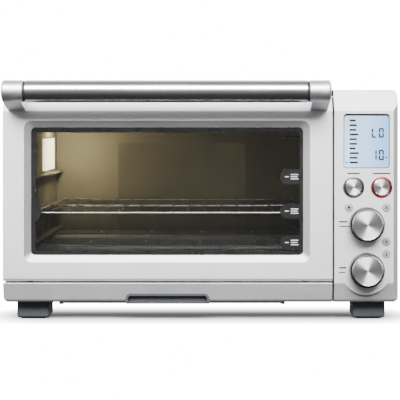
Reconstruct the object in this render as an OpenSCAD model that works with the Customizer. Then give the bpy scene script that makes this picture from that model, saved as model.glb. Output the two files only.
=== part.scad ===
// Counter-top convection toaster oven with a drop-down glass door, a control column on the right,
// a wire rack, quartz heating tubes, a side fan and a crumb tray. Front face towards -Y, +Z up.

/* [Body] */
// Width of the body
body_w = 470; // [450:1:580]
// Height of the body without its feet
body_h = 254; // [245:1:310]
// Depth of the body from the front face to the rear panel
body_d = 340; // [320:1:420]
// Thickness of the casing sheets
sheet = 1; // [0.8:0.1:1.4]
// Height of the feet
foot_h = 22; // [20:1:28]
// Width of each front foot
foot_w = 39; // [30:1:42]
// Reach of the wall spacers behind the rear panel
spacer_l = 10; // [9:1:20]
// Rounding of the body's outer corners
corner_r = 7; // [4:1:9]

/* [Front] */
// Width of the control column
panel_w = 76.3; // [74:1:95]
// Gap around the door
door_gap = 2; // [1.5:0.1:3]
// Height of the trim below the door
trim_h = 24; // [22:1:30]
// Height of the sloped top of the front
slope_h = 25.5; // [22:0.5:32]
// How far the sloped top leans back
slope_back = 15; // [10:1:15.5]
// How far the trim leans back at its underside
trim_back = 7.6; // [5:0.1:8.5]
// Thickness of the door and the control column
door_t = 18; // [17:1:24]
// Sheet thickness of the door skin, trim and control column
skin = 1.2; // [1:0.1:1.6]
// Width of the finger notch over the crumb tray grip
notch_w = 100; // [70:1:130]
// Height of the finger notch
notch_h = 11; // [8:1:13]

/* [Door] */
// Door edge to the window bevel on the left
win_left = 25.7; // [24:0.1:34]
// Door edge to the window bevel on the right
win_right = 27.4; // [24:0.1:34]
// Door edge to the window bevel at the bottom
win_bottom = 23.4; // [22:0.1:32]
// Crease of the front to the window bevel at the top
win_top = 12.3; // [8:0.1:20]
// Width of the bevel around the window
bevel = 7.5; // [5:0.5:10]
// Depth of the bevel
bevel_d = 5; // [3:0.5:7]
// Thickness of the window glass
glass_t = 4; // [3:0.5:5]
// Height of the hinge pins above the door's lower edge
hinge_up = 5.2; // [5:0.1:6]
// Depth of the hinge pins behind the front face
hinge_in = 6; // [5:0.5:6]
// Radius of the hinge pins
pin_r = 2; // [1.8:0.1:2.2]
// Radial running clearance of pins and shafts
run_gap = 0.05; // [0.02:0.01:0.1]
// Radius of the curved stay arms about the hinge
stay_r = 70; // [60:1:80]

/* [Handle] */
// Radius of the handle bar
handle_r = 13.1; // [10:0.1:14]
// Reach of the handle in front of the face
handle_reach = 50; // [44:1:60]
// Height of the handle axis below the top of the body
handle_drop = 3.2; // [1:0.1:12]
// Length of each handle end cap
cap_l = 25; // [20:1:30]
// Inset of the handle ends from the door's sides
handle_inset = 5.2; // [4:0.1:20]

/* [Oven] */
// Gap between the casing and the cavity on the left
side_gap = 26; // [24:1:40]
// Gap between the cavity and the door's right edge
right_gap = 19.7; // [19:0.1:30]
// Height of the cavity floor above the door's lower edge
floor_up = 18; // [17:1:24]
// Drop of the cavity roof below the crease of the front
roof_drop = 5; // [3:1:15]
// Gap between the cavity back and the rear panel
rear_gap = 30; // [28:1:45]
// Sheet thickness of the cavity
liner = 0.8; // [0.6:0.1:1.2]
// Depth of the pan bulge in the cavity back
bulge_d = 14; // [8:1:18]
// Width of the pan bulge
bulge_w = 182; // [140:1:220]
// Height of the pan bulge
bulge_h = 139; // [100:1:150]
// Heights of the three rack levels above the cavity floor
rack_levels = [26, 62, 105];
// Pitch of the rack rods
rod_pitch = 20.46; // [16:0.1:26]
// Radius of the rack wire
wire_r = 1.5; // [1.2:0.1:1.8]
// Radius of the quartz heating tubes
tube_r = 5; // [4:0.5:6]
// Radius of the fan opening in the right wall
fan_r = 52; // [40:1:54]

/* [Crumb tray] */
// Width of the crumb tray
tray_w = 275; // [220:1:280]
// Depth of the crumb tray, front to back
tray_d = 262; // [200:1:262]
// Height of the crumb tray
tray_h = 7; // [6:0.5:7]

/* [Controls] */
// Radius of the dials over their base ring
dial_r = 20.3; // [17:0.1:21]
// Reach of the dials in front of the face
dial_out = 20; // [14:1:24]
// Height of the lower dial axis above the body's underside
time_up = 40.3; // [38:0.1:46]
// Distance between the two dial axes
dial_pitch = 54; // [50:0.5:60]
// Distance from the upper dial up to the two large buttons
button_rise = 43.7; // [40:0.1:50]
// Distance between the two large buttons
button_pitch = 33.2; // [30:0.1:34]
// Radius of the large button faces
button_r = 10; // [8:0.1:10.5]
// Travel of the large buttons
button_travel = 1.5; // [1:0.1:2]
// Radius of the small icon buttons
icon_r = 4.7; // [4:0.1:5.5]
// Travel of the small icon buttons
icon_travel = 1; // [0.6:0.1:1.2]
// Width of the display opening
display_w = 54.9; // [46:0.1:58]
// Height of the display opening
display_h = 65; // [50:0.5:68]

/* [Hidden] */
$fn = 48;
e = 0.01;
seat = 0.3;

// Overall frame: x runs across, d runs back from the front face, z runs up.
y_face = -(handle_reach + body_d + spacer_l) / 2 + handle_reach;
x_l = -body_w / 2;
x_r = body_w / 2;
z_bot = foot_h;
z_top = foot_h + body_h;
z_trim = z_bot + trim_h;
z_door = z_trim + door_gap;
z_crease = z_top - slope_h;
lean = atan2(slope_back, slope_h);
frame_d = door_t + 0.6;
frame_t = 1.2;

// Door and control column
panel_x0 = x_r - panel_w;
door_x0 = x_l;
door_x1 = panel_x0 - door_gap;
win_x0 = door_x0 + win_left;
win_x1 = door_x1 - win_right;
win_z0 = z_door + win_bottom;
win_z1 = z_crease - win_top;
hinge_z = z_door + hinge_up;
inner_t = 1.2;
front_r = 4;
back_r = 6;

// Handle
handle_z = z_top - handle_drop;
handle_d = handle_r - handle_reach;
handle_x0 = door_x0 + handle_inset;
handle_x1 = door_x1 - handle_inset;
collar_w = 3;

// Cavity
cav_x0 = x_l + side_gap;
cav_x1 = door_x1 - right_gap;
cav_cx = (cav_x0 + cav_x1) / 2;
cav_z0 = z_door + floor_up;
cav_z1 = z_crease - roof_drop;
cav_d0 = frame_d + frame_t;
cav_d1 = body_d - rear_gap;
rack_z = cav_z0 + rack_levels[1];
rack_d0 = frame_d + 2.4;
rack_d1 = cav_d1 - 5;
rack_x0 = cav_x0 + 5;
rack_x1 = cav_x1 - 5;
upper_z = cav_z1 - 16;
lower_z = cav_z0 + 12;
upper_d = [for (k = [0:2]) cav_d0 + 45 + k * (cav_d1 - cav_d0 - 95) / 2];
lower_d = [for (k = [0:1]) cav_d0 + 72 + k * (cav_d1 - cav_d0 - 140)];
fan_d = (cav_d0 + cav_d1) / 2 + 25;
fan_z = (cav_z0 + cav_z1) / 2;
dish_d = 10;
lamp_d0 = cav_d0 + 145;
lamp_z = cav_z1 - 51;
lamp_w = 90;
lamp_h = 34;

// Hinges, stays and springs
lug_t = 4;
knuckle_t = 5;
lug_x = [door_x0 + 34, door_x1 - 34];
stay_x = [x_l + 13, cav_x1 + 7];
stay_t = 3;
stay_w = 6;
stay_z = hinge_z + stay_r * sin(acos((door_t - hinge_in) / stay_r));

// Electronics bay
part_x = cav_x1 + dish_d + 3;
bay_x0 = part_x + sheet;
board_d = frame_d + 5;

// Crumb tray
tray_z0 = z_bot - tray_h - 1.2;
tray_d0 = 60;
notch_x = cav_cx - 3.6;
notch_r = 6;
rail_w = 4;

// Controls
panel_cx = panel_x0 + 39.3;
dial_cx = panel_x0 + 37.6;
time_z = z_bot + time_up;
temp_z = time_z + dial_pitch;
button_z = temp_z + button_rise;
function_x = panel_cx - button_pitch / 2;
start_x = panel_cx + button_pitch / 2;
display_x0 = panel_cx - display_w / 2 - 1.1;
display_z1 = z_crease - 3.2;
display_z0 = display_z1 - display_h;
icon_x = panel_cx + 22.2;
lamp_icon = [panel_cx - 22.1, temp_z + 19.2];
convection_icon = [icon_x, temp_z + 19.2];
frozen_icon = [icon_x, time_z + 32.8];
unit_icon = [icon_x, time_z + 18.3];
shaft_r = 3;
bush_r = 4.5;
ring_w = 2.4;
ring_out = 1.5;

// ---- Helpers ----

// Extrudes an (x, z) outline from depth d0 back to depth d1.
module slab(d0, d1) {
    translate([0, y_face + d1, 0]) rotate([90, 0, 0]) linear_extrude(d1 - d0) children();
}

// Extrudes a (depth, z) outline from x0 to x1.
module run_x(x0, x1) {
    translate([x0, y_face, 0]) rotate([90, 0, 90]) linear_extrude(x1 - x0) children();
}

// Extrudes an (x, depth) outline from z0 up to z1.
module run_z(z0, z1) {
    translate([0, y_face, z0]) linear_extrude(z1 - z0) children();
}

// Box between two corners given as (x, depth, z).
module block(a, b) {
    translate([a[0], y_face + a[1], a[2]]) cube([b[0] - a[0], b[1] - a[1], b[2] - a[2]]);
}

// Round bar along the depth.
module rod_d(x, z, d0, d1, r) {
    translate([x, y_face + d0, z]) rotate([-90, 0, 0]) cylinder(h = d1 - d0, r = r);
}

// Round bar along x.
module rod_x(d, z, x0, x1, r) {
    translate([x0, y_face + d, z]) rotate([0, 90, 0]) cylinder(h = x1 - x0, r = r);
}

// Round bar along z.
module rod_z(x, d, z0, z1, r) {
    translate([x, y_face + d, z0]) cylinder(h = z1 - z0, r = r);
}

// Ring along the depth.
module ring_d(x, z, d0, d1, r_out, r_in) {
    difference() {
        rod_d(x, z, d0, d1, r_out);
        rod_d(x, z, d0 - 1, d1 + 1, r_in);
    }
}

// Rectangle between two corners with rounded corners.
module rounded(x0, y0, x1, y1, r) {
    translate([x0 + r, y0]) square([x1 - x0 - 2 * r, y1 - y0]);
    translate([x0, y0 + r]) square([x1 - x0, y1 - y0 - 2 * r]);
    for (x = [x0 + r, x1 - r], y = [y0 + r, y1 - r]) translate([x, y]) circle(r);
}

// Rectangular ring with rounded corners.
module rounded_ring(x0, y0, x1, y1, r, t) {
    difference() {
        rounded(x0, y0, x1, y1, r);
        rounded(x0 + t, y0 + t, x1 - t, y1 - t, r - t);
    }
}

function arc(cx, cy, r, a0, a1, n = 8) =
    [for (i = [0:n]) [cx + r * cos(a0 + (a1 - a0) * i / n), cy + r * sin(a0 + (a1 - a0) * i / n)]];

// Points of the sloped top of the front, moved inwards by t.
function slope_points(t) = [
    [(t + (slope_h - t) * sin(lean)) / cos(lean), z_top - t],
    [t, z_crease - t * tan(lean / 2)]
];

// Screw along the depth: pan head of radius 3.4 with a cross recess, shank into the sheet.
module screw_d(x, z, d, out) {
    difference() {
        union() {
            rod_d(x, z, min(d, d + out * 2), max(d, d + out * 2), 3.4);
            rod_d(x, z, min(d, d - out * 8), max(d, d - out * 8), 1.5);
        }
        for (a = [0, 90])
            translate([x, y_face + d + out * 2, z]) rotate([0, a, 0]) cube([4, 2, 0.9], center = true);
    }
}

// Screw along x: pan head of radius 3.4 with a cross recess, shank into the sheet.
module screw_x(x, d, z, out) {
    difference() {
        union() {
            rod_x(d, z, min(x, x + out * 2), max(x, x + out * 2), 3.4);
            rod_x(d, z, min(x, x - out * 8), max(x, x - out * 8), 1.5);
        }
        for (a = [0, 90])
            translate([x + out * 2, y_face + d, z]) rotate([a, 0, 0]) cube([2, 4, 0.9], center = true);
    }
}

// ---- Casing and front ----

beta = atan2(trim_back, trim_h);
trim_cz = z_bot + corner_r;
trim_cx = corner_r * cos(beta) + (z_trim - trim_cz + corner_r * sin(beta)) * tan(beta);
tongue_r = 30;
foot_in = 13;
foot_l = 40;
foot_back = 25;
side_cut = 6;
vent_w = 3;
casing_screw_d = [body_d / 2, body_d - 30];
gland_x = x_r - 40;
gland_z = z_bot + 35;
back_d = body_d - sheet - 1;

// Outline of the inside of the casing, moved inwards by t.
module inside(t) {
    rounded(x_l + sheet + t, z_bot + sheet + t, x_r - sheet - t, z_top - sheet - t, corner_r - sheet - t);
}

// Row of n vertical slots of height h, as a 2D pattern starting at the origin.
module slots(n, pitch, h) {
    for (i = [0:n - 1]) translate([i * pitch, 0]) square([vent_w, h]);
}

module outer_casing() color("silver") difference() {
    slab(frame_d, body_d) difference() {
        rounded(x_l, z_bot, x_r, z_top, corner_r);
        inside(0);
        translate([x_l + 20, z_bot - 1]) square([body_w - 40, sheet + 2]);
    }
    // Side vents, at the rear of both sides
    for (z = [z_bot + 30, z_top - 62])
        translate([x_l - 1, y_face + body_d - 130, z]) rotate([90, 0, 90]) linear_extrude(body_w + 2)
            slots(12, 8, 32);
    for (d = casing_screw_d, x = [x_l - 1, x_r - 4]) rod_x(d, z_bot + 14, x, x + 5, 1.6);
}

module rear_panel() color("dimgray") difference() {
    slab(back_d, back_d + sheet) difference() {
        inside(seat);
        for (z = [z_bot + 70, z_bot + 120]) translate([x_l + 110, z]) slots(14, 14, 34);
        translate([panel_x0 - 10, z_bot + 110]) slots(6, 12, 60);
        for (x = [x_l + 14, x_r - 14], z = [z_bot + 20, z_top - 20]) translate([x, z]) circle(1.6);
        translate([gland_x, gland_z]) circle(6.1);
    }
}

module base_plate() color("gray") {
    // Bent tabs behind the casing screws
    for (s = [-1, 1], d = casing_screw_d) difference() {
        union() {
            intersection() {
                slab(d - 8, d + 8) difference() {
                    inside(seat);
                    inside(seat + sheet);
                }
                block([min(s * (x_r - 30), s * x_r), d - 9, z_bot],
                      [max(s * (x_r - 30), s * x_r), d + 9, z_bot + 24]);
            }
            block([min(s * (x_r - 30), s * (x_r - 24)), d - 8, z_bot + sheet - e],
                  [max(s * (x_r - 30), s * (x_r - 24)), d + 8, z_bot + sheet + seat + e]);
        }
        rod_x(d, z_bot + 14, -body_w, body_w, 1.6);
    }
    run_z(z_bot, z_bot + sheet) difference() {
        translate([x_l + 20 + seat, frame_d]) square([body_w - 40 - 2 * seat, back_d - frame_d - seat]);
        // Opening over the crumb tray and relief for its grip
        translate([cav_cx - tray_w / 2 + 8, tray_d0 + 8]) square([tray_w - 16, tray_d - 40]);
        translate([notch_x - notch_w / 2, frame_d - 1]) square([notch_w, tray_d0 - frame_d + 1]);
        for (x = [panel_x0, panel_x0 + 18]) translate([x, body_d - 150]) square([vent_w, 60]);
    }
}

// Two feet with chamfered lower edges, foot_in inside the body's sides.
module feet_pair(d0) {
    for (x = [x_l + foot_in + foot_w / 2, x_r - foot_in - foot_w / 2]) difference() {
        block([x - foot_w / 2, d0, 0], [x + foot_w / 2, d0 + foot_l, z_bot]);
        for (k = [-1, 1]) translate([x + k * foot_w / 2, y_face + d0 + foot_l / 2, 0])
            rotate([0, 45, 0]) cube([4, foot_l + 2, 4], center = true);
    }
}

module front_feet() color("dimgray") feet_pair(foot_back);

module rear_feet() color("dimgray") feet_pair(body_d - foot_back - foot_l);

module rear_spacers() color("dimgray")
    for (x = [x_l + 60, x_r - 60]) difference() {
        rod_d(x, z_top - 30, back_d + sheet, body_d + spacer_l, 9);
        rod_d(x, z_top - 30, body_d + spacer_l - 3, body_d + spacer_l + 1, 6);
    }

module casing_screws() color("silver")
    for (d = casing_screw_d) {
        screw_x(x_l, d, z_bot + 14, -1);
        screw_x(x_r, d, z_bot + 14, 1);
    }

module rear_screws() color("silver")
    for (x = [x_l + 14, x_r - 14], z = [z_bot + 20, z_top - 20]) screw_d(x, z, back_d + sheet, 1);

// Strain relief collar for the mains cord, open at both ends.
module cord_gland() color("black") difference() {
    union() {
        rod_d(gland_x, gland_z, back_d + sheet, body_d + 7, 8);
        rod_d(gland_x, gland_z, back_d - 4, back_d + sheet, 6);
        rod_d(gland_x, gland_z, back_d - 7, back_d - 0.2, 8);
    }
    rod_d(gland_x, gland_z, back_d - 8, body_d + 8, 3.5);
}

module front_frame() color("gray") difference() {
    union() {
        slab(frame_d, cav_d0) difference() {
            intersection() {
                inside(seat);
                translate([x_l, z_bot]) square([part_x - seat - x_l, body_h]);
            }
            translate([cav_x0, cav_z0]) square([cav_x1 - cav_x0, cav_z1 - cav_z0]);
            for (x = stay_x) translate([x - stay_t / 2 - 0.7, stay_z - 6]) square([stay_t + 1.4, 10]);
            translate([notch_x - notch_w / 2, z_bot]) square([notch_w, notch_h + 1]);
            translate([x_l, z_bot]) square([body_w, sheet + seat + e]);
        }
        // Hinge lugs
        for (x = lug_x) {
            run_x(x - lug_t / 2, x + lug_t / 2) {
                translate([hinge_in, hinge_z - 3.5]) square([frame_d - hinge_in + 0.5, 7]);
                translate([hinge_in, hinge_z]) circle(3.5);
            }
        }
    }
    for (x = lug_x) rod_x(hinge_in, hinge_z, x - lug_t, x + lug_t, pin_r + run_gap);
}

function trim_points(t, back) = concat(
    [[back, z_trim - t], [t * tan(beta) + t / cos(beta), z_trim - t]],
    arc(trim_cx, trim_cz, corner_r - t, 180 + beta, 270),
    [[back, z_bot + t]]
);

// Outline of the control column from the side, moved inwards by t.
function column_points(t, back) = concat(
    [[back, z_top - t]],
    slope_points(t),
    [[t, z_trim + t * tan(beta / 2)]],
    arc(trim_cx, trim_cz, corner_r - t, 180 + beta, 270),
    [[back, z_bot + t]]
);

// Finger notch over the crumb tray's grip, drawn t inside its edge.
module notch_outline(t) {
    half = notch_w / 2 - t;
    rounded(notch_x - half, z_bot - 10, notch_x + half, z_bot + notch_h - t, notch_r - t);
}

module lower_trim() color("silver") difference() {
    intersection() {
        run_x(x_l, door_x1) difference() {
            polygon(trim_points(0, frame_d));
            polygon(trim_points(skin, frame_d + 1));
        }
        slab(-1, frame_d + 1) rounded(x_l, z_bot, door_x1 + 20, z_trim + 20, corner_r);
    }
    slab(-1, frame_d + 1) notch_outline(0);
}

// Solid of the control column, moved inwards by t and reaching back to depth back.
module column(t, back) {
    intersection() {
        union() {
            run_x(panel_x0 + t, x_r - t) polygon(column_points(t, back));
            rod_d(dial_cx, time_z, t, back, tongue_r - t);
        }
        slab(-1, back) rounded(panel_x0 - 20, z_bot + t, x_r - t, z_top - t, corner_r - t);
        run_z(z_bot, z_top) polygon([
            [panel_x0 + t, -1], [x_r - side_cut - t, -1], [x_r - side_cut - t, t],
            [x_r - t, side_cut + t], [x_r - t, back], [panel_x0 + t, back]
        ]);
    }
}

module control_panel() color("silver") difference() {
    union() {
        difference() {
            column(0, frame_d);
            column(skin, frame_d + 1);
        }
        // Posts that carry the control board
        for (x = [panel_x0 + 5, x_r - 10], z = [z_bot + 32, display_z0 - 8])
            rod_d(x, z, skin - e, board_d, 2.5);
    }
    slab(-1, skin + 1) {
        rounded(display_x0, display_z0, display_x0 + display_w, display_z1, 4);
        for (x = [function_x, start_x]) translate([x, button_z]) circle(button_r + 0.5);
        for (p = [lamp_icon, convection_icon, frozen_icon, unit_icon]) translate(p) circle(icon_r + 0.3);
        for (z = [time_z, temp_z]) translate([dial_cx, z]) circle(bush_r + 0.1);
    }
}

module heat_partition() color("silver") difference() {
    block([part_x, frame_d, z_bot + sheet + 0.1], [bay_x0, back_d - seat, z_top - sheet - 0.1]);
    rod_x(fan_d, fan_z, part_x - 1, bay_x0 + 1, 12);
    for (z = [z_bot + 30, z_top - 60], i = [0:7])
        block([part_x - 1, cav_d1 - 10 - i * 9, z], [bay_x0 + 1, cav_d1 - 7 - i * 9, z + 30]);
}

// ---- Door and handle ----

glass_d = bevel_d + 0.8;
glass_x0 = win_x0 + bevel;
glass_x1 = win_x1 - bevel;
glass_z0 = win_z0 + bevel;
glass_z1 = win_z1 - bevel;
glass_lap = 5;
plate_d = door_t - inner_t;
lug_slot = lug_t / 2 + 0.5;
pin_l = lug_slot + knuckle_t;
spring_l = 14;
grip_x = [handle_x0, handle_x1 - cap_l];
arm_end = acos((plate_d - 1 - hinge_in) / stay_r);

// Outline of the door from the side, moved inwards by t and reaching back to depth back.
function door_points(t, back) = concat(
    arc(front_r, z_door + front_r, front_r - t, 180, 270),
    arc(door_t - back_r, z_door + back_r, back_r - t, 270, 360),
    [[back, z_door + back_r], [back, z_top - t]],
    slope_points(t)
);

// Room around the fixed hinge lugs, open to the back and the underside of the door.
module lug_room() {
    for (x = lug_x)
        block([x - lug_slot, hinge_in - 4.3, z_door - 1], [x + lug_slot, door_t + 1, hinge_z + 4.3]);
}

module handle_screw_holes(r) {
    for (x = grip_x) rod_d(x + cap_l / 2, z_crease + 9, -10, door_t - 1, r);
}

module door_frame() color("silver") difference() {
    union() {
        difference() {
            run_x(door_x0, door_x1) polygon(door_points(0, door_t));
            run_x(door_x0 + skin, door_x1 - skin) polygon(door_points(skin, door_t + 1));
        }
        block([win_x0 - 2, 0.3, win_z0 - 2], [win_x1 + 2, glass_d, win_z1 + 2]);
    }
    // Bevelled window opening
    hull() {
        slab(-0.1, e) rounded(win_x0, win_z0, win_x1, win_z1, 9, $fn = 32);
        slab(bevel_d - e, bevel_d) rounded(glass_x0, glass_z0, glass_x1, glass_z1, 5, $fn = 32);
    }
    slab(bevel_d - 1, glass_d + 1) rounded(glass_x0, glass_z0, glass_x1, glass_z1, 5);
    lug_room();
    handle_screw_holes(1.6);
}

module door_glass() color("lightblue", 0.4)
    slab(glass_d, glass_d + glass_t)
        rounded(glass_x0 - glass_lap, glass_z0 - glass_lap, glass_x1 + glass_lap, glass_z1 + glass_lap, 6);

module door_inner_panel() color("gray") difference() {
    union() {
        slab(plate_d, door_t) difference() {
            translate([door_x0 + skin + seat, z_door + back_r + seat])
                square([door_x1 - door_x0 - 2 * (skin + seat), z_top - z_door - back_r - skin - 2 * seat]);
            rounded(glass_x0 - 1, glass_z0 - 1, glass_x1 + 1, glass_z1 + 1, 6);
            for (x = stay_x) translate([x - stay_t / 2 - 0.4, stay_z - 4.5]) square([stay_t + 0.8, 9]);
        }
        // Knuckles on both sides of each lug
        for (x = lug_x, s = [-1, 1])
            run_x(x + min(s * lug_slot, s * pin_l), x + max(s * lug_slot, s * pin_l)) {
                translate([hinge_in, hinge_z]) circle(3.6);
                translate([hinge_in - 3.6, hinge_z]) square([7.2, 9]);
                translate([hinge_in, hinge_z + 3]) square([plate_d - hinge_in + 0.5, 6]);
            }
    }
    lug_room();
    for (x = lug_x) rod_x(hinge_in, hinge_z, x - pin_l - 1, x + pin_l + 1, pin_r + run_gap);
}

// Posts that hold the glass against the door frame.
module glass_retainers() color("dimgray")
    for (x = [glass_x0 - glass_lap, glass_x1 + 1.5],
         z = [glass_z0 + 20, (glass_z0 + glass_z1) / 2, glass_z1 - 20])
        block([x, glass_d + glass_t, z - 10], [x + glass_lap - 1.5, plate_d, z + 10]);

module hinge_pins() color("silver") {
    rod_x(hinge_in, hinge_z, lug_x[0] - pin_l, lug_x[0] + pin_l + spring_l + 2, pin_r);
    rod_x(hinge_in, hinge_z, lug_x[1] - pin_l - spring_l - 2, lug_x[1] + pin_l, pin_r);
}

// Point n on the ring of a coil wire at angle a, with mean radius rm, wire radius rw and the given pitch.
function coil_point(a, n, rm, rw, pitch) =
    [(rm + rw * cos(n * 60)) * cos(a), (rm + rw * cos(n * 60)) * sin(a), pitch * a / 360 + rw * sin(n * 60)];

// Coil spring along z with the given number of turns.
module coil(turns, rm, rw, pitch) {
    rings = turns * 14;
    points = [for (i = [0:rings], n = [0:5]) coil_point(i * 360 / 14, n, rm, rw, pitch)];
    sides = [for (i = [0:rings - 1], n = [0:5])
        let (a = i * 6 + n, b = i * 6 + (n + 1) % 6) [a, b, b + 6, a + 6]];
    ends = [[for (n = [5:-1:0]) n], [for (n = [0:5]) rings * 6 + n]];
    polyhedron(points, concat(sides, ends));
}

module hinge_springs() color("darkgray")
    for (x = [lug_x[0] + pin_l + 1, lug_x[1] - pin_l - 1 - spring_l])
        translate([x, y_face + hinge_in, hinge_z]) rotate([0, 90, 0]) translate([0, 0, 0.6])
            coil(9, 2.9, 0.5, (spring_l - 1.2) / 9);

module door_stay_arms() color("silver")
    for (x = stay_x) {
        translate([x - stay_t / 2, y_face + hinge_in, hinge_z]) rotate([90, 0, 90]) rotate([0, 0, -12])
            rotate_extrude(angle = arm_end + 12, $fn = 96)
                translate([stay_r - stay_w / 2, 0]) square([stay_w, stay_t]);
        block([x - 5, plate_d - 2, stay_z - 11], [x + 5, plate_d, stay_z + 11]);
    }

module rack_magnets() color("dimgray")
    for (x = [glass_x0 - 14, glass_x1 + 7])
        block([x, plate_d - 4, rack_z - 8], [x + 8, plate_d, rack_z + 8]);

module handle_bar() color("gainsboro")
    rod_x(handle_d, handle_z, handle_x0 + cap_l + collar_w, handle_x1 - cap_l - collar_w, handle_r);

module handle_collars() color("black")
    for (x = [handle_x0 + cap_l, handle_x1 - cap_l - collar_w])
        rod_x(handle_d, handle_z, x, x + collar_w, handle_r - 0.7);

// Handle bracket: round cap at x with a web back to the sloped top of the door.
module handle_bracket(x, outer_end) {
    difference() {
        union() {
            rod_x(handle_d, handle_z, x + 2, x + cap_l - 2, handle_r);
            rod_x(handle_d, handle_z, x, x + cap_l, handle_r - 1.2);
            run_x(x + 3, x + cap_l - 5) polygon([
                [handle_d - 2, handle_z - handle_r + 0.8],
                [0, z_crease], [0.7 * slope_back, z_crease + 0.7 * slope_h],
                [handle_d + 6, handle_z + handle_r - 1.8]
            ]);
        }
        handle_screw_holes(1.6);
        rod_x(handle_d, handle_z, outer_end - 1, outer_end + 1, handle_r - 5);
    }
}

module left_handle_bracket() color("lightgray") handle_bracket(grip_x[0], handle_x0);

module right_handle_bracket() color("lightgray") handle_bracket(grip_x[1], handle_x1);

module handle_screws() color("silver")
    for (x = grip_x) {
        rod_d(x + cap_l / 2, z_crease + 9, -9, 11, 1.5);
        rod_d(x + cap_l / 2, z_crease + 9, 9.5, 12, 3.2);
    }

// ---- Oven ----

wall_x0 = cav_x0 - liner;
wall_x1 = cav_x1 + liner;
bulge_z0 = cav_z0 + 3;
bulge_z1 = bulge_z0 + bulge_h;
bulge_cx = cav_cx + 5.5;
bulge_r = (pow(bulge_w / 2, 2) + bulge_d * bulge_d) / (2 * bulge_d);
tube_ends = [for (d = upper_d) [d, upper_z]];
low_ends = [for (d = lower_d) [d, lower_z]];
end_l = 10;
rail_out = 9;
cover_t = 1;
cover_lap = 6;
lamp_hold_w = side_gap - sheet - liner - 2;
probe_d = cav_d1 - 40;
probe_z = cav_z1 - 30;

module oven_cavity() color("tan") difference() {
    union() {
        block([wall_x0, cav_d0, cav_z0 - liner], [wall_x1, cav_d1, cav_z1 + liner]);
        rod_x(fan_d, fan_z, wall_x1 - e, wall_x1 + dish_d, fan_r + liner);
    }
    block([cav_x0, cav_d0 - 1, cav_z0], [cav_x1, cav_d1 + 1, cav_z1]);
    rod_x(fan_d, fan_z, cav_x1 - 1, wall_x1 + dish_d - liner, fan_r);
    rod_x(fan_d, fan_z, wall_x1, wall_x1 + dish_d + 1, 6);
    // Crumb opening in the floor
    block([cav_cx - tray_w / 2 + 12, tray_d0 + 12, cav_z0 - 2],
          [cav_cx + tray_w / 2 - 12, cav_d1 - 30, cav_z0 + 1]);
    // Lamp window in the left wall, tube ends in both side walls
    block([wall_x0 - 1, lamp_d0, lamp_z - lamp_h / 2], [cav_x0 + 1, lamp_d0 + lamp_w, lamp_z + lamp_h / 2]);
    for (p = concat(tube_ends, low_ends)) rod_x(p[0], p[1], wall_x0 - 1, wall_x1 + 1, tube_r + 0.3);
    rod_x(probe_d, probe_z, cav_x1 - 1, wall_x1 + 1, 3.2);
}

// Solid of the pan bulge, grown by t.
module bulge(t) {
    intersection() {
        block([bulge_cx - bulge_w / 2 - t, cav_d1 - 1, bulge_z0 - t],
              [bulge_cx + bulge_w / 2 + t, cav_d1 + bulge_d + 2, bulge_z1 + t]);
        rod_z(bulge_cx, cav_d1 + bulge_d - bulge_r, bulge_z0 - t, bulge_z1 + t, bulge_r + t, $fn = 180);
    }
}

module cavity_back() color("tan") difference() {
    union() {
        block([wall_x0, cav_d1, cav_z0 - liner], [wall_x1, cav_d1 + liner, cav_z1 + liner]);
        difference() {
            bulge(liner);
            block([wall_x0 - 1, cav_d1 - 5, cav_z0 - 5], [wall_x1 + 1, cav_d1 + e, cav_z1 + 5]);
        }
    }
    bulge(0);
}

// Rails that carry the rack at each level, on both side walls.
module rack_rails() color("tan") difference() {
    for (h = rack_levels, x = [cav_x0, cav_x1 - rail_out]) let (z = cav_z0 + h - wire_r - seat)
        block([x, cav_d0 + 8, z - 2], [x + rail_out, cav_d1 - 4, z]);
    // Room for the fan cover
    rod_x(fan_d, fan_z, cav_x1 - cover_t - 0.05, cav_x1 + 1, fan_r + cover_lap + seat);
}

module heating_tubes(ends) {
    for (p = ends) rod_x(p[0], p[1], wall_x0, wall_x1, tube_r);
}

module upper_heating_tubes() color("white") heating_tubes(tube_ends);

module lower_heating_tubes() color("white") heating_tubes(low_ends);

module ceramic_ends() color("ivory")
    for (p = concat(tube_ends, low_ends)) {
        rod_x(p[0], p[1], wall_x0 - end_l, wall_x0, tube_r + 3);
        rod_x(p[0], p[1], wall_x1, wall_x1 + end_l, tube_r + 3);
    }

// Wire guards over the lower tubes: two long wires and short cross wires over each tube.
module element_guards() color("silver")
    for (d = lower_d) {
        for (s = [-1, 1]) rod_x(d + s * 14, lower_z + 8, cav_x0, cav_x1, 1.2);
        for (i = [1:4]) let (x = cav_x0 + i * (cav_x1 - cav_x0) / 5)
            rod_d(x, lower_z + 8, d - 14, d + 14, 1.1);
    }

module lamp_lens() color("lightyellow", 0.7)
    block([cav_x0, lamp_d0 - 4, lamp_z - lamp_h / 2 - 4],
          [cav_x0 + 3, lamp_d0 + lamp_w + 4, lamp_z + lamp_h / 2 + 4]);

// Open box behind the lamp window that carries the bulb.
module lamp_holder() color("gray") difference() {
    block([wall_x0 - lamp_hold_w, lamp_d0 - 6, lamp_z - lamp_h / 2 - 6],
          [wall_x0, lamp_d0 + lamp_w + 6, lamp_z + lamp_h / 2 + 6]);
    block([wall_x0 - lamp_hold_w + 1, lamp_d0 - 4, lamp_z - lamp_h / 2 - 4],
          [wall_x0 + 1, lamp_d0 + lamp_w + 4, lamp_z + lamp_h / 2 + 4]);
}

module lamp_bulb() color("lightyellow") {
    rod_d(wall_x0 - lamp_hold_w / 2, lamp_z, lamp_d0 - 4, lamp_d0 + 12, 7);
    rod_d(wall_x0 - lamp_hold_w / 2, lamp_z, lamp_d0 + 11, lamp_d0 + 42, 5.5);
    translate([wall_x0 - lamp_hold_w / 2, y_face + lamp_d0 + 42, lamp_z]) sphere(5.5);
}

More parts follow.
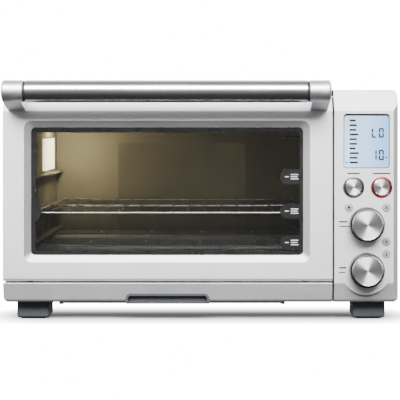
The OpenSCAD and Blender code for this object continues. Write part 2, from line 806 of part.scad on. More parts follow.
module fan_motor() color("dimgray") difference() {
    union() {
        rod_x(fan_d, fan_z, bay_x0, bay_x0 + 6, 11);
        rod_x(fan_d, fan_z, bay_x0 + 5, bay_x0 + 34, 24);
        block([bay_x0 + 9, fan_d - 30, fan_z - 30], [bay_x0 + 27, fan_d + 30, fan_z + 30]);
        block([bay_x0, fan_d - 36, fan_z - 8], [bay_x0 + 10, fan_d + 36, fan_z + 8]);
    }
    rod_x(fan_d, fan_z, bay_x0 - 1, bay_x0 + 24, 2.5 + run_gap);
}

module fan_impeller() color("silver") {
    rod_x(fan_d, fan_z, cav_x1 + 2, bay_x0 + 22, 2.5);
    rod_x(fan_d, fan_z, cav_x1 + 2, cav_x1 + 8, 9);
    rod_x(fan_d, fan_z, cav_x1 + 7, cav_x1 + 8, fan_r - 7);
    for (i = [0:5])
        translate([cav_x1 + 2, y_face + fan_d, fan_z]) rotate([i * 60, 0, 0]) translate([0, 7, -0.5])
            cube([5.5, fan_r - 14, 1]);
}

module fan_cover() color("tan") difference() {
    rod_x(fan_d, fan_z, cav_x1 - cover_t, cav_x1, fan_r + cover_lap);
    rod_x(fan_d, fan_z, cav_x1 - 2, cav_x1 + 1, 4);
    for (ring = [1:4], i = [0:ring * 6 - 1])
        rod_x(fan_d + ring * 10.5 * cos(i * 60 / ring), fan_z + ring * 10.5 * sin(i * 60 / ring),
              cav_x1 - 2, cav_x1 + 1, 3.4);
}

module temperature_probe() color("silver") {
    rod_x(probe_d, probe_z, cav_x1 - 26, wall_x1 + 6, 3);
    rod_x(probe_d, probe_z, wall_x1, wall_x1 + 3, 8);
}

module thermal_fuse() color("ivory") {
    block([wall_x1, cav_d0 + 60, cav_z1 - 40], [wall_x1 + 6, cav_d0 + 84, cav_z1 - 26]);
    rod_x(cav_d0 + 72, cav_z1 - 33, wall_x1 + 5, wall_x1 + 9, 5);
}

// ---- Rack and crumb tray ----

rod_n = floor((rack_x1 - rack_x0 - 20) / rod_pitch / 2);

module wire_rack() color("silver") {
    for (d = [rack_d0 + wire_r, rack_d1 - wire_r]) rod_x(d, rack_z, rack_x0, rack_x1, wire_r);
    for (x = [rack_x0 + wire_r, rack_x1 - wire_r]) {
        rod_d(x, rack_z, rack_d0 + wire_r, rack_d1 - wire_r, wire_r);
        for (d = [rack_d0 + wire_r, rack_d1 - wire_r]) translate([x, y_face + d, rack_z]) sphere(wire_r);
    }
    for (i = [-rod_n:rod_n]) let (x = (rack_x0 + rack_x1) / 2 + i * rod_pitch) {
        rod_d(x, rack_z + 2 * wire_r - 0.4, rack_d0 + 0.4, rack_d1 - 0.4, wire_r - 0.2);
    }
    rod_x((rack_d0 + rack_d1) / 2, rack_z, rack_x0 + wire_r, rack_x1 - wire_r, wire_r - 0.2);
}

module tray_rails() color("gray")
    for (s = [-1, 1]) let (x = cav_cx + s * (tray_w / 2 + 0.8)) {
        block([min(x, x + s * sheet), tray_d0, tray_z0 - 1.4],
              [max(x, x + s * sheet), tray_d0 + tray_d, z_bot]);
        block([min(x - s * rail_w, x + s * sheet), tray_d0, tray_z0 - 1.3],
              [max(x - s * rail_w, x + s * sheet), tray_d0 + tray_d, tray_z0 - seat]);
    }

module crumb_tray() color("silver") difference() {
    block([cav_cx - tray_w / 2, tray_d0, tray_z0], [cav_cx + tray_w / 2, tray_d0 + tray_d, tray_z0 + tray_h]);
    block([cav_cx - tray_w / 2 + 0.8, tray_d0 + 0.8, tray_z0 + 0.8],
          [cav_cx + tray_w / 2 - 0.8, tray_d0 + tray_d - 0.8, tray_z0 + tray_h + 1]);
}

module tray_grip() color("dimgray") {
    block([notch_x - notch_w / 2 + 1, 6, z_bot - 1.4], [notch_x + notch_w / 2 - 1, tray_d0, z_bot + 0.4]);
    block([notch_x - notch_w / 2 + 1, tray_d0 - 3, tray_z0],
          [notch_x + notch_w / 2 - 1, tray_d0, z_bot + 0.4]);
    slab(11, 14) intersection() {
        notch_outline(1);
        translate([x_l, z_bot - 1.4]) square([body_w, notch_h + 1.4]);
    }
}

// ---- Electronics and controls ----

board_t = 1.6;
stop_gap = 0.3;
power_x = x_r - 30;

// Board behind the control column, with one small switch under each button.
module control_board() color("darkgreen") {
    block([bay_x0 + 4, board_d, z_bot + 18], [x_r - sheet - 3, board_d + board_t, z_top - 18]);
    for (x = [function_x, start_x])
        block([x - 3, board_d - 2, button_z - 3], [x + 3, board_d + e, button_z + 3]);
    for (p = [lamp_icon, convection_icon, frozen_icon, unit_icon])
        block([p[0] - 3, board_d - 2, p[1] - 3], [p[0] + 3, board_d + e, p[1] + 3]);
    block([dial_cx - 12, board_d + board_t - e, time_z + 20],
          [dial_cx + 12, board_d + board_t + 3, time_z + 36]);
    block([bay_x0 + 8, board_d + board_t - e, temp_z], [bay_x0 + 18, board_d + board_t + 9, temp_z + 28]);
}

// Board on the outer wall of the bay, with relays, a transformer and a filter can.
module power_board() color("darkgreen") {
    block([power_x, 110, z_bot + 30], [power_x + board_t, 290, z_top - 60]);
    for (i = [0:3])
        block([power_x - 15, 120 + i * 26, z_bot + 38], [power_x + e, 140 + i * 26, z_bot + 54]);
    block([power_x - 32, 236, z_bot + 36], [power_x + e, 278, z_bot + 74]);
    rod_x(150, z_bot + 76, power_x - 22, power_x + e, 9);
    for (d = [125, 200], z = [z_bot + 40, z_top - 75]) rod_x(d, z, power_x + board_t - e, x_r - sheet, 3);
}

module display_module() color("dimgray") {
    block([display_x0 + 1.5, skin + 2.6, display_z0 + 1.5],
          [display_x0 + display_w - 1.5, 9, display_z1 - 1.5]);
    block([display_x0 + 6, 8, display_z0 + 6], [display_x0 + display_w - 6, board_d, display_z1 - 6]);
}

module display_window() color("lightblue")
    slab(0.8, skin + 2.4) rounded(display_x0 + 0.1, display_z0 + 0.1,
                                  display_x0 + display_w - 0.1, display_z1 - 0.1, 3.9);

module dial_encoders() color("dimgray")
    for (z = [time_z, temp_z]) difference() {
        union() {
            rod_d(dial_cx, z, -0.3, 13, bush_r);
            block([dial_cx - 6.5, 12, z - 6.5], [dial_cx + 6.5, board_d, z + 6.5]);
        }
        rod_d(dial_cx, z, -1, board_d - 2, shaft_r + run_gap);
    }

module button_rings() color("dimgray")
    for (x = [function_x, start_x]) ring_d(x, button_z, -ring_out, 0, button_r + ring_w + 0.3, button_r + 0.3);

// Dial turning about (x, z): chamfered knob with a shallow dished face and its shaft.
module dial(z) {
    translate([dial_cx, y_face, z]) rotate([90, 0, 0]) rotate_extrude() polygon([
        [0, 0.8], [dial_r, 0.8], [dial_r, dial_out - 6], [dial_r - 1.2, dial_out - 1.6],
        [dial_r - 3, dial_out], [dial_r - 3.6, dial_out], [dial_r - 4, dial_out - 0.6], [0, dial_out - 0.6]
    ]);
    rod_d(dial_cx, z, -1, board_d - 2.5, shaft_r);
}

module temperature_dial() color("silver") dial(temp_z);

module time_dial() color("silver") dial(time_z);

// Push button of radius r at (x, z): cap standing out in front, flange behind the panel, stem.
module push_button(x, z, r, out, travel, rim) {
    rod_d(x, z, -out, skin + 2.2, r);
    rod_d(x, z, skin + 0.3, skin + 2.2, r + rim);
    rod_d(x, z, skin + 2, board_d - 2 - travel - stop_gap, 2);
}

module function_button() color("silver") push_button(function_x, button_z, button_r, 2.5, button_travel, 2);

module start_button() color("silver") push_button(start_x, button_z, button_r, 2.5, button_travel, 2);

module icon_button(p) {
    push_button(p[0], p[1], icon_r, 1.2, icon_travel, 1);
}

module lamp_button() color("gray") icon_button(lamp_icon);

module convection_button() color("gray") icon_button(convection_icon);

module frozen_button() color("gray") icon_button(frozen_icon);

module unit_button() color("gray") icon_button(unit_icon);

outer_casing();
rear_panel();
base_plate();
front_frame();
lower_trim();
control_panel();
heat_partition();
front_feet();
rear_feet();
rear_spacers();
casing_screws();
rear_screws();
cord_gland();
door_frame();
door_glass();
door_inner_panel();
glass_retainers();
handle_bar();
handle_collars();
left_handle_bracket();
right_handle_bracket();
handle_screws();
hinge_pins();
hinge_springs();
door_stay_arms();
rack_magnets();
oven_cavity();
cavity_back();
rack_rails();
upper_heating_tubes();
lower_heating_tubes();
ceramic_ends();
element_guards();
lamp_bulb();
lamp_holder();
lamp_lens();
fan_motor();
fan_impeller();
fan_cover();
temperature_probe();
thermal_fuse();
control_board();
power_board();
display_module();
display_window();
dial_encoders();
button_rings();
tray_rails();
wire_rack();
crumb_tray();
tray_grip();
temperature_dial();
time_dial();
function_button();
start_button();
lamp_button();
convection_button();
frozen_button();
unit_button();
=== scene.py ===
"""Looks of the toaster oven: detailed shells, glass print, controls, cavity and studio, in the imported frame."""
import math

import bmesh
import bpy
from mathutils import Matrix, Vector


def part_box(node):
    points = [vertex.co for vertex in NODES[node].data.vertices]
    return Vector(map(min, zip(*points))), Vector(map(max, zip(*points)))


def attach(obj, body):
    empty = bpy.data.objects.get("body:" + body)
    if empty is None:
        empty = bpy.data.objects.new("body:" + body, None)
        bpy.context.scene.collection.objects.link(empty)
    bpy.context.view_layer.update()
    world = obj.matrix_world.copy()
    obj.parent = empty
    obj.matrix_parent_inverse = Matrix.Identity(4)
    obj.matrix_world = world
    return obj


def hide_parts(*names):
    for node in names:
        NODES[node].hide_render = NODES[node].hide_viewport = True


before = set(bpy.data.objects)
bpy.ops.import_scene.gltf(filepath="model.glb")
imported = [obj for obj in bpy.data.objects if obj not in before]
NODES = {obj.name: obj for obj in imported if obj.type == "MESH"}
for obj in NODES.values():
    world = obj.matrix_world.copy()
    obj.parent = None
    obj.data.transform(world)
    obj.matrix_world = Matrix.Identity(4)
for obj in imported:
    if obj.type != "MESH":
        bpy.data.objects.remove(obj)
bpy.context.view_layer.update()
MM = 0.001

# ---------------------------------------------------------------- places taken from the frame
door_lo, door_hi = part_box("door_frame")
panel_lo, panel_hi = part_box("control_panel")
trim_lo, trim_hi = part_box("lower_trim")
glass_lo, glass_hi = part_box("door_glass")
cavity_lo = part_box("oven_cavity")[0]
rack_lo, rack_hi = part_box("wire_rack")

FACE = door_lo.y
SLOPE_H = 25.5 * MM
SLOPE_BACK = 15 * MM
TRIM_BACK = 7.6 * MM
SKIN = 1.2 * MM
CORNER = 7 * MM
Z_TOP = door_hi.z
Z_CREASE = Z_TOP - SLOPE_H
Z_DOOR = door_lo.z
Z_TRIM = trim_hi.z
Z_BOT = trim_lo.z
DOOR_T = door_hi.y - door_lo.y
FRAME_D = trim_hi.y - FACE
GLASS_LAP = 5 * MM
BEVEL = 7.5 * MM
BEVEL_D = 5 * MM
GLASS_D = glass_lo.y - FACE
GLASS_X0 = glass_lo.x + GLASS_LAP
GLASS_X1 = glass_hi.x - GLASS_LAP
GLASS_Z0 = glass_lo.z + GLASS_LAP
GLASS_Z1 = glass_hi.z - GLASS_LAP
LEAN = math.atan2(SLOPE_BACK, SLOPE_H)
BETA = math.atan2(TRIM_BACK, Z_TRIM - Z_BOT)


# ---------------------------------------------------------------- outlines
def arc(cx, cy, r, a0, a1, n=8):
    """Points of an arc from angle a0 to a1, in degrees."""
    angles = [math.radians(a0 + (a1 - a0) * i / n) for i in range(n + 1)]
    return [(cx + r * math.cos(a), cy + r * math.sin(a)) for a in angles]


def rounded(x0, z0, x1, z1, r, n=8):
    """Rectangle with rounded corners, anticlockwise from its lower right."""
    return (
        arc(x1 - r, z0 + r, r, -90, 0, n)
        + arc(x1 - r, z1 - r, r, 0, 90, n)
        + arc(x0 + r, z1 - r, r, 90, 180, n)
        + arc(x0 + r, z0 + r, r, 180, 270, n)
    )


def circle(cx, cz, r, n=64):
    return arc(cx, cz, r, 0, 360 * (n - 1) / n, n - 1)


# ---------------------------------------------------------------- mesh making
def new_mesh(name, points, faces):
    data = bpy.data.meshes.new(name)
    data.from_pydata([tuple(p) for p in points], [], faces)
    tidy = bmesh.new()
    tidy.from_mesh(data)
    bmesh.ops.recalc_face_normals(tidy, faces=tidy.faces)
    tidy.to_mesh(data)
    tidy.free()
    obj = bpy.data.objects.new(name, data)
    bpy.context.scene.collection.objects.link(obj)
    return obj


def loft(name, loops, caps=True, closed=False):
    """Skin over loops of equal length; closed joins the last loop to the first."""
    n = len(loops[0])
    points = [p for loop in loops for p in loop]
    pairs = list(zip(range(len(loops) - 1), range(1, len(loops))))
    if closed:
        pairs.append((len(loops) - 1, 0))
    faces = [
        (a * n + i, a * n + (i + 1) % n, b * n + (i + 1) % n, b * n + i)
        for a, b in pairs
        for i in range(n)
    ]
    if caps and not closed:
        faces.append(tuple(range(n)))
        faces.append(tuple(range((len(loops) - 1) * n, len(loops) * n)))
    return new_mesh(name, points, faces)


def at_depth(outline, d):
    """(x, z) outline placed at depth d behind the front face."""
    return [(x, FACE + d, z) for x, z in outline]


def slab(name, outline, d0, d1):
    return loft(name, [at_depth(outline, d0), at_depth(outline, d1)])


def run_x(name, profile, x0, x1):
    """(depth, z) profile drawn out along x."""
    return loft(name, [[(x, FACE + d, z) for d, z in profile] for x in (x0, x1)])


def run_z(name, outline, z0, z1):
    """(x, depth) outline drawn up along z."""
    return loft(name, [[(x, FACE + d, z) for x, d in outline] for z in (z0, z1)])


def block(name, lo, hi):
    """Box between two corners given as (x, depth, z)."""
    corners = [(lo[0], lo[1]), (hi[0], lo[1]), (hi[0], hi[1]), (lo[0], hi[1])]
    return run_z(name, corners, lo[2], hi[2])


def lathe(name, centre, axis, profile, n=64):
    """Solid of revolution from (radius, height) points, whose axis runs from centre along axis."""
    turn = Vector(axis).to_track_quat("Z", "Y")
    loops = []
    for k in range(n):
        a = 2 * math.pi * k / n
        loops.append([
            Vector(centre) + turn @ Vector((r * math.cos(a), r * math.sin(a), h)) for r, h in profile
        ])
    obj = loft(name, loops, closed=True)
    weld(obj)
    return obj


def weld(obj, distance=1e-6):
    tidy = bmesh.new()
    tidy.from_mesh(obj.data)
    bmesh.ops.remove_doubles(tidy, verts=tidy.verts, dist=distance)
    bmesh.ops.dissolve_degenerate(tidy, edges=tidy.edges, dist=distance)
    bmesh.ops.recalc_face_normals(tidy, faces=tidy.faces)
    tidy.to_mesh(obj.data)
    tidy.free()


def bake(obj):
    """Applies the object's modifiers to its mesh."""
    graph = bpy.context.evaluated_depsgraph_get()
    made = bpy.data.meshes.new_from_object(obj.evaluated_get(graph))
    obj.modifiers.clear()
    old = obj.data
    obj.data = made
    bpy.data.meshes.remove(old)


def combine(obj, tools, operation="DIFFERENCE"):
    """Boolean of obj with each tool, which is used up."""
    for tool in tools:
        step = obj.modifiers.new("cut", "BOOLEAN")
        step.operation = operation
        step.solver = "EXACT"
        step.object = tool
        bake(obj)
        bpy.data.objects.remove(tool)
    return obj


def bevel(obj, width, segments=3, angle=30):
    step = obj.modifiers.new("edge", "BEVEL")
    step.width = width
    step.segments = segments
    step.limit_method = "ANGLE"
    step.angle_limit = math.radians(angle)
    step.harden_normals = False
    bake(obj)
    return obj


def smooth(obj, angle=32):
    """Smooth shading with sharp edges kept, flat faces left flat."""
    obj.data.shade_smooth()
    obj.data.set_sharp_from_angle(angle=math.radians(angle))
    step = obj.modifiers.new("normals", "WEIGHTED_NORMAL")
    step.keep_sharp = True
    bake(obj)
    return obj


def join(name, parts):
    """One mesh from several objects, which are used up."""
    merged = bmesh.new()
    for part in parts:
        merged.from_mesh(part.data)
        bpy.data.objects.remove(part)
    data = bpy.data.meshes.new(name)
    merged.to_mesh(data)
    merged.free()
    obj = bpy.data.objects.new(name, data)
    bpy.context.scene.collection.objects.link(obj)
    return obj


def wire(name, points, radius, closed=False, turn=0.0, resolution=3):
    """Round wire along points, its corners rounded with radius turn."""
    path = fillet(points, turn, closed) if turn else [Vector(p) for p in points]
    data = bpy.data.curves.new(name, "CURVE")
    data.dimensions = "3D"
    data.bevel_depth = radius
    data.bevel_resolution = resolution
    data.use_fill_caps = True
    spline = data.splines.new("POLY")
    spline.points.add(len(path) - 1)
    for point, place in zip(spline.points, path):
        point.co = (*place, 1)
    spline.use_cyclic_u = closed
    obj = bpy.data.objects.new(name, data)
    bpy.context.scene.collection.objects.link(obj)
    graph = bpy.context.evaluated_depsgraph_get()
    mesh = bpy.data.meshes.new_from_object(obj.evaluated_get(graph))
    bpy.data.objects.remove(obj)
    made = bpy.data.objects.new(name, mesh)
    bpy.context.scene.collection.objects.link(made)
    mesh.shade_smooth()
    return made


def fillet(points, radius, closed, n=6):
    """Points with each inner corner replaced by an arc-like curve of n steps."""
    path = [Vector(p) for p in points]
    count = len(path)
    out = []
    for i, here in enumerate(path):
        if not closed and i in (0, count - 1):
            out.append(here)
            continue
        before = (path[i - 1] - here).normalized() * radius
        after = (path[(i + 1) % count] - here).normalized() * radius
        for k in range(n + 1):
            t = k / n
            out.append(here + before * (1 - t) ** 2 + after * t ** 2)
    return out


def dress(obj, body, slot_name, *mats, stands_for=()):
    """Gives a piece its body and materials and hides the CAD nodes that it stands for; the record slot argument
    is not used.
    """
    obj.data.materials.clear()
    for mat in mats:
        obj.data.materials.append(mat)
    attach(obj, body)
    if stands_for:
        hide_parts(*stands_for)
    return obj


# ---------------------------------------------------------------- materials
class Shader:
    """Short forms for building one node material."""

    def __init__(self, name, color, metallic=0.0, roughness=0.5, **sockets):
        self.mat = bpy.data.materials.new(name)
        self.mat.use_nodes = True
        self.tree = self.mat.node_tree
        self.bsdf = self.tree.nodes["Principled BSDF"]
        self.bsdf.inputs["Base Color"].default_value = (*color, 1)
        self.bsdf.inputs["Metallic"].default_value = metallic
        self.bsdf.inputs["Roughness"].default_value = roughness
        for key, value in sockets.items():
            self.bsdf.inputs[key.replace("_", " ")].default_value = value
        self.color = color
        self.roughness = roughness

    def node(self, kind, **settings):
        made = self.tree.nodes.new(kind)
        for key, value in settings.items():
            setattr(made, key, value)
        return made

    def link(self, source, target):
        self.tree.links.new(source, target)

    def place(self, scale=(1, 1, 1), shift=(0, 0, 0)):
        """Object coordinates, scaled by axis."""
        coords = self.node("ShaderNodeTexCoord")
        mapping = self.node("ShaderNodeMapping")
        mapping.inputs["Scale"].default_value = scale
        mapping.inputs["Location"].default_value = shift
        self.link(coords.outputs["Object"], mapping.inputs["Vector"])
        return mapping.outputs["Vector"]

    def noise(self, scale, stretch=(1, 1, 1), detail=3.0, rough=0.5):
        tex = self.node("ShaderNodeTexNoise")
        tex.inputs["Scale"].default_value = scale
        tex.inputs["Detail"].default_value = detail
        tex.inputs["Roughness"].default_value = rough
        self.link(self.place(stretch), tex.inputs["Vector"])
        return tex.outputs["Fac"]

    def remap(self, value, lo, hi, from_lo=0.3, from_hi=0.7):
        step = self.node("ShaderNodeMapRange")
        step.inputs["From Min"].default_value = from_lo
        step.inputs["From Max"].default_value = from_hi
        step.inputs["To Min"].default_value = lo
        step.inputs["To Max"].default_value = hi
        self.link(value, step.inputs["Value"])
        return step.outputs["Result"]

    def mix(self, value, a, b):
        """Colour between a and b by value; a and b are colours or sockets."""
        step = self.node("ShaderNodeMix", data_type="RGBA")
        self.link(value, step.inputs["Factor"])
        for key, side in (("A", a), ("B", b)):
            socket = next(s for s in step.inputs if s.name == key and s.type == "RGBA")
            if isinstance(side, tuple):
                socket.default_value = (*side, 1)
            else:
                self.link(side, socket)
        return next(s for s in step.outputs if s.type == "RGBA")

    def math(self, operation, a, b=0.0):
        step = self.node("ShaderNodeMath", operation=operation)
        for socket, side in zip(step.inputs, (a, b)):
            if isinstance(side, (int, float)):
                socket.default_value = side
            else:
                self.link(side, socket)
        return step.outputs["Value"]

    def rough_by(self, value, spread):
        span = (max(0.02, self.roughness - spread), min(1.0, self.roughness + spread))
        self.link(self.remap(value, *span), self.bsdf.inputs["Roughness"])

    def tint_by(self, value, spread):
        dark = tuple(c * (1 - spread) for c in self.color)
        light = tuple(min(1.0, c * (1 + spread)) for c in self.color)
        self.link(self.mix(self.remap(value, 0, 1), dark, light), self.bsdf.inputs["Base Color"])

    def bump_by(self, value, strength, distance=0.0002):
        step = self.node("ShaderNodeBump")
        step.inputs["Strength"].default_value = strength
        step.inputs["Distance"].default_value = distance
        self.link(value, step.inputs["Height"])
        self.link(step.outputs["Normal"], self.bsdf.inputs["Normal"])

    def tangent(self, x, y, z):
        step = self.node("ShaderNodeCombineXYZ")
        for socket, value in zip(step.inputs, (x, y, z)):
            socket.default_value = value
        self.link(step.outputs["Vector"], self.bsdf.inputs["Tangent"])


def brushed(name, color, grain="x", roughness=0.3, pull=0.7, depth=0.05, spread=0.03):
    """Brushed sheet metal: hairlines along one axis, broken up by broad soft smudges."""
    made = Shader(name, color, 1.0, roughness, Anisotropic=pull, Anisotropic_Rotation=0.25)
    fine = {"x": (0.012, 1, 1), "y": (1, 0.012, 1), "z": (1, 1, 0.012)}[grain]
    lines = made.noise(1500, fine, 4.0, 0.65)
    smudge = made.noise(14, (1, 1, 1), 2.0, 0.6)
    made.tint_by(lines, spread)
    both = made.math("ADD", made.math("MULTIPLY", lines, 0.6), made.math("MULTIPLY", smudge, 0.4))
    made.rough_by(both, 0.05)
    made.bump_by(lines, depth, 0.0001)
    made.tangent(*{"x": (1, 0, 0), "y": (0, 1, 0), "z": (0, 0, 1)}[grain])
    return made.mat


def metal(name, color, roughness=0.25, grain=900, spread=0.03, depth=0.03):
    """Plain worked metal with a fine even tooth and slight stains."""
    made = Shader(name, color, 1.0, roughness)
    made.tint_by(made.noise(25, detail=3.0), spread)
    made.rough_by(made.noise(60, detail=4.0), 0.06)
    made.bump_by(made.noise(grain, detail=2.0), depth, 0.0001)
    return made.mat


def plastic(name, color, roughness=0.5, grain=1400, depth=0.12, spread=0.06):
    """Moulded plastic with a spark-eroded grain."""
    made = Shader(name, color, 0.0, roughness)
    made.tint_by(made.noise(30, detail=3.0), spread)
    made.rough_by(made.noise(80, detail=3.0), 0.05)
    made.bump_by(made.noise(grain, detail=1.0), depth, 0.00015)
    return made.mat


# Heights over the oven floor between which the painted shade darkening the cavity coat fades out.
PAINTED_SHADE_Z = (14 * MM, 70 * MM)


def enamel(name, color, roughness=0.6):
    """Coated cavity sheet: fine speckle, painted shade darkening it towards the floor and a light orange-peel."""
    made = Shader(name, color, 0.12, roughness)
    speckle = made.noise(1100, detail=2.0, rough=0.8)
    broad = made.noise(9, detail=3.0)
    dark = tuple(c * 0.72 for c in color)
    pale = tuple(min(1.0, c * 1.15) for c in color)
    base = made.mix(made.remap(speckle, 0, 1, 0.35, 0.65), dark, pale)
    split = made.node("ShaderNodeSeparateXYZ")
    made.link(made.place(), split.inputs["Vector"])
    # Painted shade: the coat is darkened towards the cavity floor.
    painted_shade = made.remap(split.outputs["Z"], 1.0, 0.0, cavity_lo.z + PAINTED_SHADE_Z[0], cavity_lo.z + PAINTED_SHADE_Z[1])
    coat = made.mix(made.remap(broad, 0.0, 0.45), base, dark)
    made.link(made.mix(painted_shade, coat, tuple(c * 0.22 for c in color)), made.bsdf.inputs["Base Color"])
    made.rough_by(made.noise(40, detail=3.0), 0.08)
    made.bump_by(made.noise(500, detail=2.0), 0.1, 0.0002)
    return made.mat


def spun(name, centre_x, centre_z, color=(0.90, 0.895, 0.885)):
    """Face turned on a lathe: fine rings that blur reflections along the radius."""
    made = Shader(name, color, 1.0, 0.45, Anisotropic=0.95, Anisotropic_Rotation=0.25)
    coords = made.place((1, 1, 1), (-centre_x, 0, -centre_z))
    split = made.node("ShaderNodeSeparateXYZ")
    made.link(coords, split.inputs["Vector"])
    x, z = split.outputs["X"], split.outputs["Z"]
    around = made.node("ShaderNodeCombineXYZ")
    made.link(made.math("MULTIPLY", z, -1.0), around.inputs["X"])
    made.link(x, around.inputs["Z"])
    turned_with = made.node("ShaderNodeVectorTransform", vector_type="VECTOR",
                            convert_from="OBJECT", convert_to="WORLD")
    made.link(around.outputs["Vector"], turned_with.inputs["Vector"])
    unit = made.node("ShaderNodeVectorMath", operation="NORMALIZE")
    made.link(turned_with.outputs["Vector"], unit.inputs[0])
    made.link(unit.outputs["Vector"], made.bsdf.inputs["Tangent"])
    radius = made.math("SQRT", made.math("ADD", made.math("MULTIPLY", x, x), made.math("MULTIPLY", z, z)))
    rings = made.math("SINE", made.math("MULTIPLY", radius, 9000.0))
    dark = tuple(c * 0.94 for c in color)
    made.link(made.mix(made.remap(rings, 0, 1, -1, 1), dark, color), made.bsdf.inputs["Base Color"])
    made.rough_by(made.remap(rings, 0.4, 0.6, -1, 1), 0.05)
    made.bump_by(rings, 0.05, 0.00005)
    return made.mat


def window_glass():
    made = Shader("window_glass", (0.70, 0.71, 0.70), 0.0, 0.02, Transmission_Weight=1.0, IOR=1.5)
    made.rough_by(made.noise(6, detail=2.0), 0.015)
    return made.mat


def glow(name, color, strength, roughness=0.3):
    made = Shader(name, color, 0.0, roughness)
    ripple = made.remap(made.noise(160, (1, 1, 1), 2.0), 0.8, 1.1)
    made.link(made.math("MULTIPLY", ripple, strength), made.bsdf.inputs["Emission Strength"])
    made.bsdf.inputs["Emission Color"].default_value = (*color, 1)
    return made.mat


def quartz():
    """Frosted quartz tube with the heating coil showing through."""
    made = Shader("quartz", (0.12, 0.113, 0.10), 0.0, 0.4, Coat_Weight=0.3, Coat_Roughness=0.1)
    wave = made.node("ShaderNodeTexWave", wave_type="BANDS", bands_direction="X")
    wave.inputs["Scale"].default_value = 90.0
    made.link(made.place(), wave.inputs["Vector"])
    made.tint_by(wave.outputs["Fac"], 0.22)
    made.rough_by(made.noise(200), 0.06)
    made.bump_by(made.noise(900), 0.05, 0.0001)
    return made.mat


def circuit():
    """Green board with copper tracks under the mask."""
    made = Shader("board", (0.03, 0.16, 0.07), 0.1, 0.35)
    cells = made.node("ShaderNodeTexVoronoi", feature="DISTANCE_TO_EDGE")
    cells.inputs["Scale"].default_value = 160.0
    made.link(made.place(), cells.inputs["Vector"])
    tracks = made.remap(cells.outputs["Distance"], 1, 0, 0.02, 0.07)
    made.link(made.mix(tracks, (0.03, 0.16, 0.07), (0.10, 0.34, 0.14)), made.bsdf.inputs["Base Color"])
    made.rough_by(made.noise(120), 0.08)
    return made.mat


def display_panel(x0, x1):
    """Backlit liquid crystal face, paler towards the left."""
    made = Shader("display_lit", (0.50, 0.68, 0.85), 0.0, 0.12, Coat_Weight=0.5, Coat_Roughness=0.03)
    split = made.node("ShaderNodeSeparateXYZ")
    coords = made.node("ShaderNodeTexCoord")
    made.link(coords.outputs["Object"], split.inputs["Vector"])
    across = made.remap(split.outputs["X"], 0, 1, x0, x1)
    cell = made.noise(2600, detail=1.0)
    face = made.mix(across, (0.52, 0.72, 0.98), (0.22, 0.42, 0.76))
    made.link(made.mix(made.remap(cell, 0, 0.06), face, (0.25, 0.38, 0.55)), made.bsdf.inputs["Base Color"])
    made.link(face, made.bsdf.inputs["Emission Color"])
    made.bsdf.inputs["Emission Strength"].default_value = 0.35
    return made.mat


STEEL = brushed("steel_front", (0.735, 0.738, 0.752), "x", 0.5, 0.62)
STEEL_WRAP = brushed("steel_wrap", (0.62, 0.622, 0.632), "y", 0.36, 0.7)
STEEL_DULL = brushed("steel_dull", (0.50, 0.50, 0.49), "x", 0.45, 0.4)
SATIN = brushed("satin_handle", (0.71, 0.715, 0.735), "x", 0.19, 0.2, depth=0.015)
CHROME = metal("chrome", (0.80, 0.79, 0.77), 0.12)
CAST = metal("cast_ends", (0.74, 0.745, 0.76), 0.42, 1400, 0.05, 0.12)
RING_DARK = metal("ring_dark", (0.20, 0.185, 0.18), 0.3)
# Near-black colour of the dial sleeve is painted shade and dark reflection round the knob's side.
PAINTED_SHADE_SLEEVE = metal("dial_sleeve_painted_shade", (0.045, 0.043, 0.043), 0.4)
RING_RED = metal("ring_red", (0.42, 0.07, 0.08), 0.3)
BLACK = plastic("black_plastic", (0.018, 0.018, 0.02), 0.45)
DARK = plastic("dark_grey_plastic", (0.065, 0.068, 0.075), 0.55)
GREY = plastic("grey_button", (0.34, 0.34, 0.35), 0.45)
INK = plastic("dark_ink", (0.012, 0.012, 0.014), 0.8, depth=0.03)
PALE_INK = plastic("pale_ink", (0.75, 0.75, 0.75), 0.5, depth=0.03)
FRIT = plastic("glass_print", (0.012, 0.012, 0.013), 0.3, depth=0.02)
BACK_COAT = plastic("back_coat", (0.16, 0.16, 0.165), 0.55)
MOTOR = plastic("motor_coat", (0.06, 0.06, 0.065), 0.5)
RUBBER = plastic("gland_rubber", (0.02, 0.02, 0.02), 0.75)
CERAMIC = plastic("ceramic", (0.78, 0.75, 0.68), 0.6)
CAVITY = enamel("cavity_coat", (0.15, 0.138, 0.108))
QUARTZ = quartz()
BOARD = circuit()
GLASS = window_glass()
LAMP = glow("lamp_lens", (1.0, 0.93, 0.66), 3.2)

# ---------------------------------------------------------------- sheet steel front
pins_lo, pins_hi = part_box("hinge_pins")
PIN_L = 7.5 * MM
LUG_X = [pins_lo.x + PIN_L, pins_hi.x - PIN_L]
HINGE_Z = (pins_lo.z + pins_hi.z) / 2
FRONT_R = 4 * MM
BACK_R = 6 * MM
NOTCH_X = sum(corner.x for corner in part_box("tray_grip")) / 2
NOTCH_HALF = 50 * MM
NOTCH_H = 11 * MM
NOTCH_R = 6 * MM


def slope(t):
    """Sloped top of the front from its upper end down to the crease, moved inwards by t."""
    return [
        ((t + (SLOPE_H - t) * math.sin(LEAN)) / math.cos(LEAN), Z_TOP - t),
        (t, Z_CREASE - t * math.tan(LEAN / 2)),
    ]


def trim_curve(t):
    """Rounded lower edge of the trim and the control column, moved inwards by t."""
    cz = Z_BOT + CORNER
    cx = CORNER * math.cos(BETA) + (Z_TRIM - cz + CORNER * math.sin(BETA)) * math.tan(BETA)
    return arc(cx, cz, CORNER - t, 180 + math.degrees(BETA), 270)


def door_outline(t, back):
    return (
        arc(FRONT_R, Z_DOOR + FRONT_R, FRONT_R - t, 180, 270)
        + arc(DOOR_T - BACK_R, Z_DOOR + BACK_R, BACK_R - t, 270, 360)
        + [(back, Z_DOOR + BACK_R), (back, Z_TOP - t)]
        + slope(t)
    )


